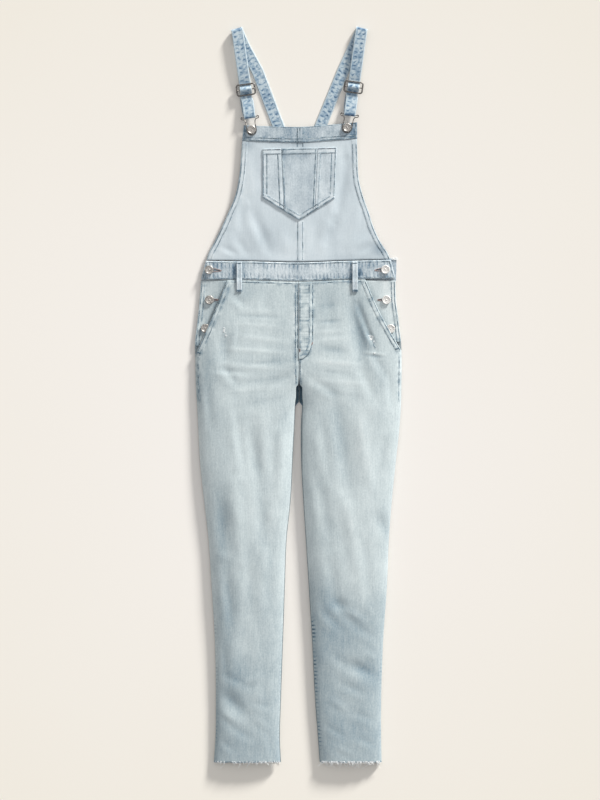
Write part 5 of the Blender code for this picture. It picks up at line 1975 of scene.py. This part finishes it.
@dataclass
class Strap:
    """One strap: off the back panel, over at the shoulder, through the slider, round the hook and back.

    A flat strap folded over leaves its fold at the same angle on both sides, so the back run bends
    a little before it reaches the fold.

    Fields:
        plan: where it runs.
        straight_to: how far before the fold the back run starts to bend.
        slipped: how far the under-run shows beside the upper one.
    """
    plan: StrapPlan
    straight_to: float = 78.0
    slipped: float = 1.9

    def side_view(self, top_s: float) -> list[Place]:
        """The strap from the fold to its sewn end, as distance from the hook's bar and height.

        Args:
            top_s: how far from the bar the fold is.

        Returns:
            The places.
        """
        at, under, over = SLIDER_AT, SLIDER_Z - WRAP, SLIDER_Z + 2 * WRAP
        return [(top_s - 22, 9.3), (top_s - 50, 8.8), (at + 36, 7.8), (at + 22, 6.6), (at + 14, under - 0.1),
                (at + 9.5, under - 0.1), (at + 6.9, under + 0.5), *arc(at, SLIDER_Z, 2 * WRAP + 0.2, 12, 168, 9),
                (at - 6.9, under + 0.5), (at - 9.5, under - 0.1), (at - 13, under - 0.1), (at - 22, under + 1),
                (20, 8.4), (8, 10.0), *arc(0, BAR_Z, WRAP, 80, 290, 10), (8, 5.6), (20, 4.2),
                (at - 20, under - 2 * STRAP + 1.2), (at - 10, over - 8.5), (at - 6, over - 8.3),
                *arc(at, SLIDER_Z, WRAP, -100, 95, 10)]

    def route(self) -> Array:
        """The middle of the strap's thickness, with the turn of its width as a fourth value."""
        plan = self.plan
        back = np.array([plan.x_rise - plan.x_end, plan.y_rise - plan.y_end])
        length = np.hypot(*back)
        leaving = 2 * plan.crease_turn - plan.turn_front
        fold = np.array([plan.x_fold, plan.y_fold])
        clear = (BACK_BIB_ROWS[-1].y + 9 - plan.y_end) / math.cos(math.radians(plan.turn_back))
        on_bib, on_floor = CLOTH + GAP + STRAP / 2, STRAP / 2
        steps = [(0.0, on_bib), (12.0, on_bib), (clear, on_bib), (clear + 6, (on_bib + on_floor) / 2),
                 (clear + 14, on_floor), (length - self.straight_to, on_floor)]
        route = [(plan.x_end + back[0] * d / length, plan.y_end + back[1] * d / length, z, plan.turn_back)
                 for d, z in steps]
        route += [(*(fold - short * turned(leaving)[1][:2]), on_floor, leaving) for short in (34.0, 16.0, 0.0)]
        upward = turned(plan.crease_turn)[1]
        for t in np.linspace(0, 1, 17)[1:]:
            angle = math.pi * t - math.pi / 2
            turn = leaving + (plan.crease_turn - leaving) * min(2 * t, 1)
            turn += (plan.turn_front - plan.crease_turn) * max(2 * t - 1, 0)
            reach = FOLD_RADIUS * math.cos(angle)
            route.append((fold[0] + upward[0] * reach, fold[1] + upward[1] * reach,
                          on_floor + FOLD_RADIUS * (1 + math.sin(angle)), turn))
        top_s = math.hypot(*plan.run)
        run = plan.run / top_s
        for distance, height in self.side_view(top_s):
            slipped = self.slipped * float(height < 5.9) * float(window(8, 46, 5, np.array(distance)))
            route.append((plan.x_bar + run[0] * distance - slipped, plan.y_bar + run[1] * distance, height,
                          plan.turn_front))
        return evenly(softened(evenly(np.array(route), 0.9), 3), 1.25)

    def wash(self, path: Array, s: Array, u: Array) -> Array:
        """The strap's dye: mottled blue in two columns between pale stitched edges.

        It is deeper past the shoulder fold, at the hook's bar and on the hidden end, and painted shade darkens it in
        the slider's lower half.

        Args:
            path: the middle of the strap.
            s: distance along it, on the grid.
            u: place across, from -1 to 1, on the grid.

        Returns:
            The depth of dye on the grid.
        """
        plan = self.plan
        seed = plan.side.pick((171, 181))
        wander = 0.10 * (noise(0 * s, s, 50, 14, seed) - 0.5)
        rows = ticks(s + 5 * noise(u * 11, s, 5, 9, seed + 4), 90.0 * (u > 0) + 0 * s, 8.6, seed + 5)
        marks = 1.05 * rows * bell(np.abs(u + wander) - 0.40, 0.27) \
            + 0.32 * ease(0.40, 0.70, noise(u * 11 + s * 0.35, s, 3.8, 5.0, seed + 2))
        inside = 1 - ease(0.74, 0.86, np.abs(u))
        fine = noise(u * 11.5, s, 2.0, 3.3, seed + 3)
        wash = 0.13 + inside * (0.12 + 1.15 * marks)
        wash = wash + 0.30 * bell(np.abs(u) - 0.80, 0.07) * (0.4 + fine) + 0.25 * ease(0.965, 1.0, np.abs(u))
        past_fold = ((path[:, :2] - (plan.x_fold, plan.y_fold)) @ turned(plan.crease_turn)[1][:2])[:, None]
        wash = wash + 0.60 * ease(-1.5, 3.5, past_fold) * (0.6 - 0.4 * plan.side.value * u) * inside
        from_bar = ((path[:, :2] - (plan.x_bar, plan.y_bar)) @ (plan.run / np.linalg.norm(plan.run)))[:, None]
        front = (path[:, 2:3] > 5.0) & (path[:, 1:2] < max(plan.y_rise, plan.y_fold) - 20)
        # the second bell, inside the slider's lower half, is painted shade
        near = 0.42 * bell(from_bar - 0.5, 5.0) + 0.28 * bell(from_bar - SLIDER_AT + 4.6, 4.0)
        return wash + near * front * inside + 0.5 * (s > s[-1, 0] - 58)

    def build(self) -> None:
        """Make the strap, with pale ridges along both edges."""
        route = self.route()
        path, angle = route[:, :3], np.radians(route[:, 3])
        widths = np.column_stack([np.cos(angle), np.sin(angle), 0 * angle])
        along = np.concatenate([[0], np.cumsum(np.linalg.norm(np.diff(path, axis=0), axis=1))])
        steps = np.linspace(-1, 1, 23)
        s, u = np.broadcast_arrays(along[:, None], steps[None, :])
        outward = 0.25 * bell(np.abs(steps) - 0.86, 0.06) - 0.12 * bell(np.abs(steps) - 0.78, 0.05) \
            - 0.6 * ease(0.94, 1.0, np.abs(steps))
        name = "strap_" + self.plan.side.letter
        piece = strip(path, widths, STRAP_WIDTH, STRAP, outward, {"wash": self.wash(path, s, u)}).make(
            "denim_" + name, FINISHES.strap, Slot.STRAP, [name], 70)


@dataclass
class Buckles:
    """The slider and the hook of one strap, bent from one gauge of wire.

    Fields:
        plan: the strap's plan.
        corner: the radius of the slider's corners.
        knob: the radius of the slider's side knobs.
        bar_wire: the radius of the slider's bar.
        stouter: how much thicker than the gauge the slider's frame is drawn, on each side.
        loop_radius: of the hook's loop round the button.
    """
    plan: StrapPlan
    corner: float = 4.0
    knob: float = 2.1
    bar_wire: float = 0.85
    stouter: float = 0.55
    loop_radius: float = 9.3

    def slider(self) -> None:
        """Make the rounded frame and the middle bar, which swells to a knob at each side."""
        plan = self.plan
        across, upward = turned(plan.turn_front)
        run = np.append(plan.run, 0)
        middle = np.array([plan.x_bar, plan.y_bar, SLIDER_Z]) + run / np.linalg.norm(run) * SLIDER_AT
        turn = np.radians(np.concatenate([np.linspace(90 * k, 90 * k + 90, 9) for k in range(4)]))
        signs = np.repeat([(1, 1), (-1, 1), (-1, -1), (1, -1)], 9, axis=0)
        flat = signs * (SLIDER_HALF_WIDTH - self.corner, SLIDER_REACH - self.corner) \
            + self.corner * np.column_stack([np.cos(turn), np.sin(turn)])
        ring = middle + flat[:, :1] * across + flat[:, 1:] * upward
        ring = evenly(np.concatenate([ring, ring[:1]]), 1.2)[:-1]
        bar_at = np.linspace(-SLIDER_HALF_WIDTH - 0.6, SLIDER_HALF_WIDTH + 0.6, 37)
        radius = self.bar_wire + (self.knob - self.bar_wire) * bell(np.abs(bar_at) - SLIDER_HALF_WIDTH + 0.7, 1.5)
        bar = tube(middle + bar_at[:, None] * across, radius, 12)
        name = "slider_" + plan.side.letter
        Solid.joined([tube(ring, WIRE + self.stouter, 12, closed=True), bar]).make(
            "wire_" + name, FINISHES.wire, Slot.WIRE, [name])

    def hook(self) -> None:
        """Make the clip: a bar with an eye at each end, and a keyhole loop round the bib button's shank."""
        plan = self.plan
        across, upward = turned(plan.turn_front)
        bar = np.array([plan.x_bar, plan.y_bar, 0])
        to_button = np.array([plan.x_button, plan.y_button, 0]) - bar
        aside, reach = to_button @ across, -to_button @ upward
        on_band = float(bib_height(np.array(plan.x_button), np.array(plan.y_button))) + BIB_BAND + 0.1 + GAP + WIRE
        half = [(12.8, 0.0, BAR_Z), (15.4, -1.6, BAR_Z), (17.2, 0.4, BAR_Z), (16.0, 3.4, BAR_Z),
                (12.0, 4.2, BAR_Z + 0.3), (9.6, 6.8, BAR_Z + 0.8), (8.9, 11.0, BAR_Z + 1.0),
                (8.9, reach - 9.0, on_band + 0.6), (9.2, reach - 4.0, on_band)]
        half += [(*point, on_band) for point in arc(0, reach + 0.8, self.loop_radius, 0, 90, 6)]
        both = np.array(half + [(-w, d, z) for w, d, z in reversed(half[:-1])])
        shift = aside * np.maximum(both[:, 1] - 3, 0) / (reach - 3)
        places = bar + (both[:, 0] + shift)[:, None] * across - both[:, 1:2] * upward
        places[:, 2] = both[:, 2]
        name = "hook_" + plan.side.letter
        tube(even_path(places, 0.9, closed=True)[:-1], WIRE, 12, closed=True).make(
            "wire_" + name, FINISHES.wire, Slot.WIRE, [name])


@dataclass
class Buttons:
    """The riveted buttons: a shank, and a cap with a rolled rim, a ring and a small centre.

    Fields:
        places: each button's name and place.
        cap_height: from the cap's underside to its crest.
        rim: the outer part of the cap, as distances in from its edge and heights over its underside.
        middle: the centre of the cap, as distances out from its axis and heights.
    """
    places: tuple[tuple[str, float, float], ...] = (
        ("side_button_r_1", -174, 244.7), ("side_button_r_2", -173.5, 186.2), ("side_button_r_3", -181.7, 130.8),
        ("side_button_l_1", 169.3, 245.3), ("side_button_l_2", 171.2, 186.2), ("side_button_l_3", 179.5, 130.0),
        ("bib_button_r", -91.5, 517.3), ("bib_button_l", 94.6, 521.6))
    cap_height: float = 2.2
    rim: tuple[Place, ...] = ((0.9, 0), (0.3, 0.15), (0, 0.6), (0, 1.2), (0.25, 1.7), (0.9, 2.05), (1.6, 2.1),
                              (2.2, 1.9), (2.6, 1.5), (3.2, 1.3), (3.7, 1.5), (4.1, 1.55), (4.6, 1.25))
    middle: tuple[Place, ...] = ((2.6, 1.15), (1.7, 1.25), (1.3, 1.6), (0.6, 1.75), (0, 1.8))

    def build(self) -> None:
        """Turn each button and stand it on its cloth."""
        for name, x, y in self.places:
            low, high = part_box(name)
            base, cap = low[2] / MM, high[2] / MM - self.cap_height
            profile = [(0, base), (SHANK_RADIUS + 0.4, base), (SHANK_RADIUS, base + 0.4), (SHANK_RADIUS, cap)]
            profile += [(BUTTON_RADIUS - inset, cap + rise) for inset, rise in self.rim]
            profile += [(radius, cap + rise) for radius, rise in self.middle]
            finish = FINISHES.button if name.startswith("side_button_l") else FINISHES.dull_button
            turned_form(profile, (x, y, 0)).make("turned_" + name, finish, Slot.BUTTON, [name], 75)


# ---------------------------------------------------------------- fray and wear

@dataclass
class HemFray:
    """White threads along the raw hems: a short fringe, with a few long ends.

    Fields:
        short: how many short threads on the right and left leg.
        long_ends: how many long ones on the right and left leg.
        yarn: the radius of a thread.
    """
    short: tuple[int, int] = (70, 130)
    long_ends: tuple[int, int] = (10, 24)
    yarn: float = 0.36

    def build(self, side: Side) -> None:
        """Make the threads of one hem.

        Each thread leaves the cut edge, wanders sideways and droops: its places are its start, plus
        a fall that grows along it, plus a bend that grows with the square of the way along.

        Args:
            side: which leg.
        """
        seeds = np.random.default_rng(side.pick((191, 192)))
        few, many = side.pick(self.short), side.pick(self.long_ends)
        low, high = sorted(float(edge) for edge in leg_edges(side, np.array(HEM_Y)))
        count = few + many
        x = seeds.uniform(low + 3, high - 3, count)
        length = np.concatenate([seeds.gamma(2.2, 1.0, few) + 1.4, seeds.uniform(6, 14, many)])
        lean = seeds.normal(0, 0.42, count)
        bend = seeds.normal(0, 0.5, count) * length
        t = np.linspace(0, 1, 6)[None, :]
        edge_z = leg_height(side, x, np.full(count, HEM_Y + 1.0)) + 0.9 + seeds.uniform(0, 1.2, count)
        places = np.stack([x[:, None] + (lean * length)[:, None] * t + bend[:, None] * t ** 2,
                           HEM_Y + 3.0 - (length[:, None] + 1.6) * t,
                           edge_z[:, None] - np.minimum(0.35 * length, edge_z - 1)[:, None] * t ** 2], axis=-1)
        Solid.joined([tube(line, self.yarn, 4) for line in places]).make(
            "hem_fray_" + side.letter, FINISHES.white, Slot.DENIM)


@dataclass
class Wear:
    """Rubbed places where white weft threads show across the cloth.

    Fields:
        spots: on each leg, each one's middle, half sizes and how many threads.
        tear: the line of the dark tear beside the largest.
    """
    spots: tuple[tuple[tuple[float, float, float, float, int], ...], ...] = (
        ((-145.0, 128.0, 1.2, 5.0, 14), (-141.5, 119.0, 1.0, 4.0, 8)),
        ((141.5, 112.0, 2.4, 4.6, 17), (137.5, 116.0, 1.6, 1.2, 3), (147.0, 103.0, 1.0, 3.0, 5),
         (147.8, 83.0, 1.2, 1.6, 6)))
    tear: tuple[Place, ...] = ((143.5, 107.0), (147.6, 102.0), (145.6, 97.5), (149.6, 93.0))

    def build(self) -> None:
        """Make the threads of every spot, and the tear."""
        seeds = np.random.default_rng(201)
        for side in Side:
            parts = []
            top = lambda x, y, side=side: leg_height(side, x, y) + CLOTH
            for x, y, reach_x, reach_y, count in side.pick(self.spots):
                middle = np.column_stack([seeds.normal(x, reach_x * 0.5, count),
                                          seeds.uniform(y - reach_y, y + reach_y, count)])
                runs = np.column_stack([np.ones(count), seeds.normal(0.1, 0.25, count)])
                parts.append(threads(middle, runs, top, 2.2 + 1.6 * reach_x, 0.34, 0.3))
            Solid.joined(parts).make("worn_weft_" + side.letter, FINISHES.white, Slot.DENIM)
        pressed_line(straight(self.tear, 1.2), lambda x, y: leg_height(Side.LEFT, x, y) + CLOTH + 0.1, 1.3).washed(
            1.05).make("tear_l", FINISHES.line, Slot.DENIM)


# ---------------------------------------------------------------- floor, light and camera

@dataclass
class Studio:
    """A pale floor, one large soft light low from the upper right, an open sky of soft fill, and the camera.

    Fields:
        camera_height: above the floor, in millimetres.
        view_height: how much of the floor the frame's height takes in, in millimetres.
        aim: the place under the camera, on the pattern.
        light_from: the direction that the light comes from.
        light_angle: how wide the light is, in degrees.
        light_share: how much of an open floor's light is the key light's.
        floor_reach: half the floor's width, in metres.
        floor_z: how far the floor lies below the cloth, in metres.
    """
    camera_height: float = 6000.0
    view_height: float = 1560.0
    aim: Place = (2.9, -8.8)
    light_from: tuple[float, float, float] = (1.25, 1.9, 0.62)
    light_angle: float = 9.0
    light_share: float = 0.45
    floor_reach: float = 4.0
    floor_z: float = -0.0004

    def floor(self) -> None:
        """Lay the paper."""
        mesh = bpy.data.meshes.new("studio_floor")
        corners = [(a * self.floor_reach, b * self.floor_reach, self.floor_z)
                   for a, b in ((-1, -1), (1, -1), (1, 1), (-1, 1))]
        mesh.from_pydata(corners, [], [(0, 1, 2, 3)])
        mesh.materials.append(MattPaper("uncoated cream paper", "#F4F0EC", "#F0EBE2").build())
        floor = bpy.data.objects.new("studio_floor", mesh)
        bpy.context.scene.collection.objects.link(floor)

    def lights(self) -> None:
        """Place the key light and the sky, which is brighter overhead than at its foot."""
        light = bpy.data.lights.new("key", "SUN")
        direction = np.array(self.light_from) / np.linalg.norm(self.light_from)
        light.energy = math.pi * self.light_share / direction[2]
        light.angle = math.radians(self.light_angle)
        light.color = linear("#FFFDF8")[:3]
        key = bpy.data.objects.new("key", light)
        key.rotation_mode = "QUATERNION"
        key.rotation_quaternion = Vector(direction).to_track_quat("Z", "Y")
        bpy.context.scene.collection.objects.link(key)
        world = bpy.data.worlds.new("fill")
        bpy.context.scene.world = world
        world.use_nodes = True
        tree = world.node_tree
        tree.nodes.clear()
        up = add(tree, "SeparateXYZ", links={0: add(tree, "TexCoord").outputs["Generated"]})
        fill = 1 - self.light_share
        level = add(tree, "MapRange", links={"Value": up.outputs["Z"], "From Min": 0.0, "From Max": 1.0,
                                             "To Min": 0.35 * fill, "To Max": 1.325 * fill})
        sky = add(tree, "Background", links={"Color": linear("#FFFFFF"), "Strength": level.outputs[0]})
        add(tree, "OutputWorld", links={"Surface": sky.outputs[0]})

    def camera(self) -> None:
        """Hang the camera over the floor, looking straight down."""
        lens = bpy.data.cameras.new("camera")
        lens.sensor_fit = "VERTICAL"
        lens.sensor_height = 36.0
        lens.lens = lens.sensor_height * self.camera_height / self.view_height
        lens.clip_end = 50.0
        camera = bpy.data.objects.new("camera", lens)
        camera.location = metres(np.array([*self.aim, self.camera_height]))
        bpy.context.scene.collection.objects.link(camera)
        bpy.context.scene.camera = camera
        bpy.context.scene.view_settings.view_transform = "Standard"

    def build(self) -> None:
        """Make the floor, the lights and the camera."""
        self.floor()
        self.lights()
        self.camera()


def main() -> None:
    """Build the dungarees from the floor up; make() reports each piece."""
    logging.basicConfig(level=logging.INFO, format="%(name)s: %(message)s")
    Studio().build()
    Legs().build()
    Hips().build()
    Waist().build()
    bib = Bib()
    bib.back()
    bib.front()
    bib.band()
    ChestPocket().build()
    for plan in STRAP_PLANS:
        Strap(plan).build()
        buckles = Buckles(plan)
        buckles.slider()
        buckles.hook()
    Buttons().build()
    for side in Side:
        HemFray().build(side)
    Wear().build()


if __name__ == "__main__":
    main()
    bpy.context.view_layer.update()
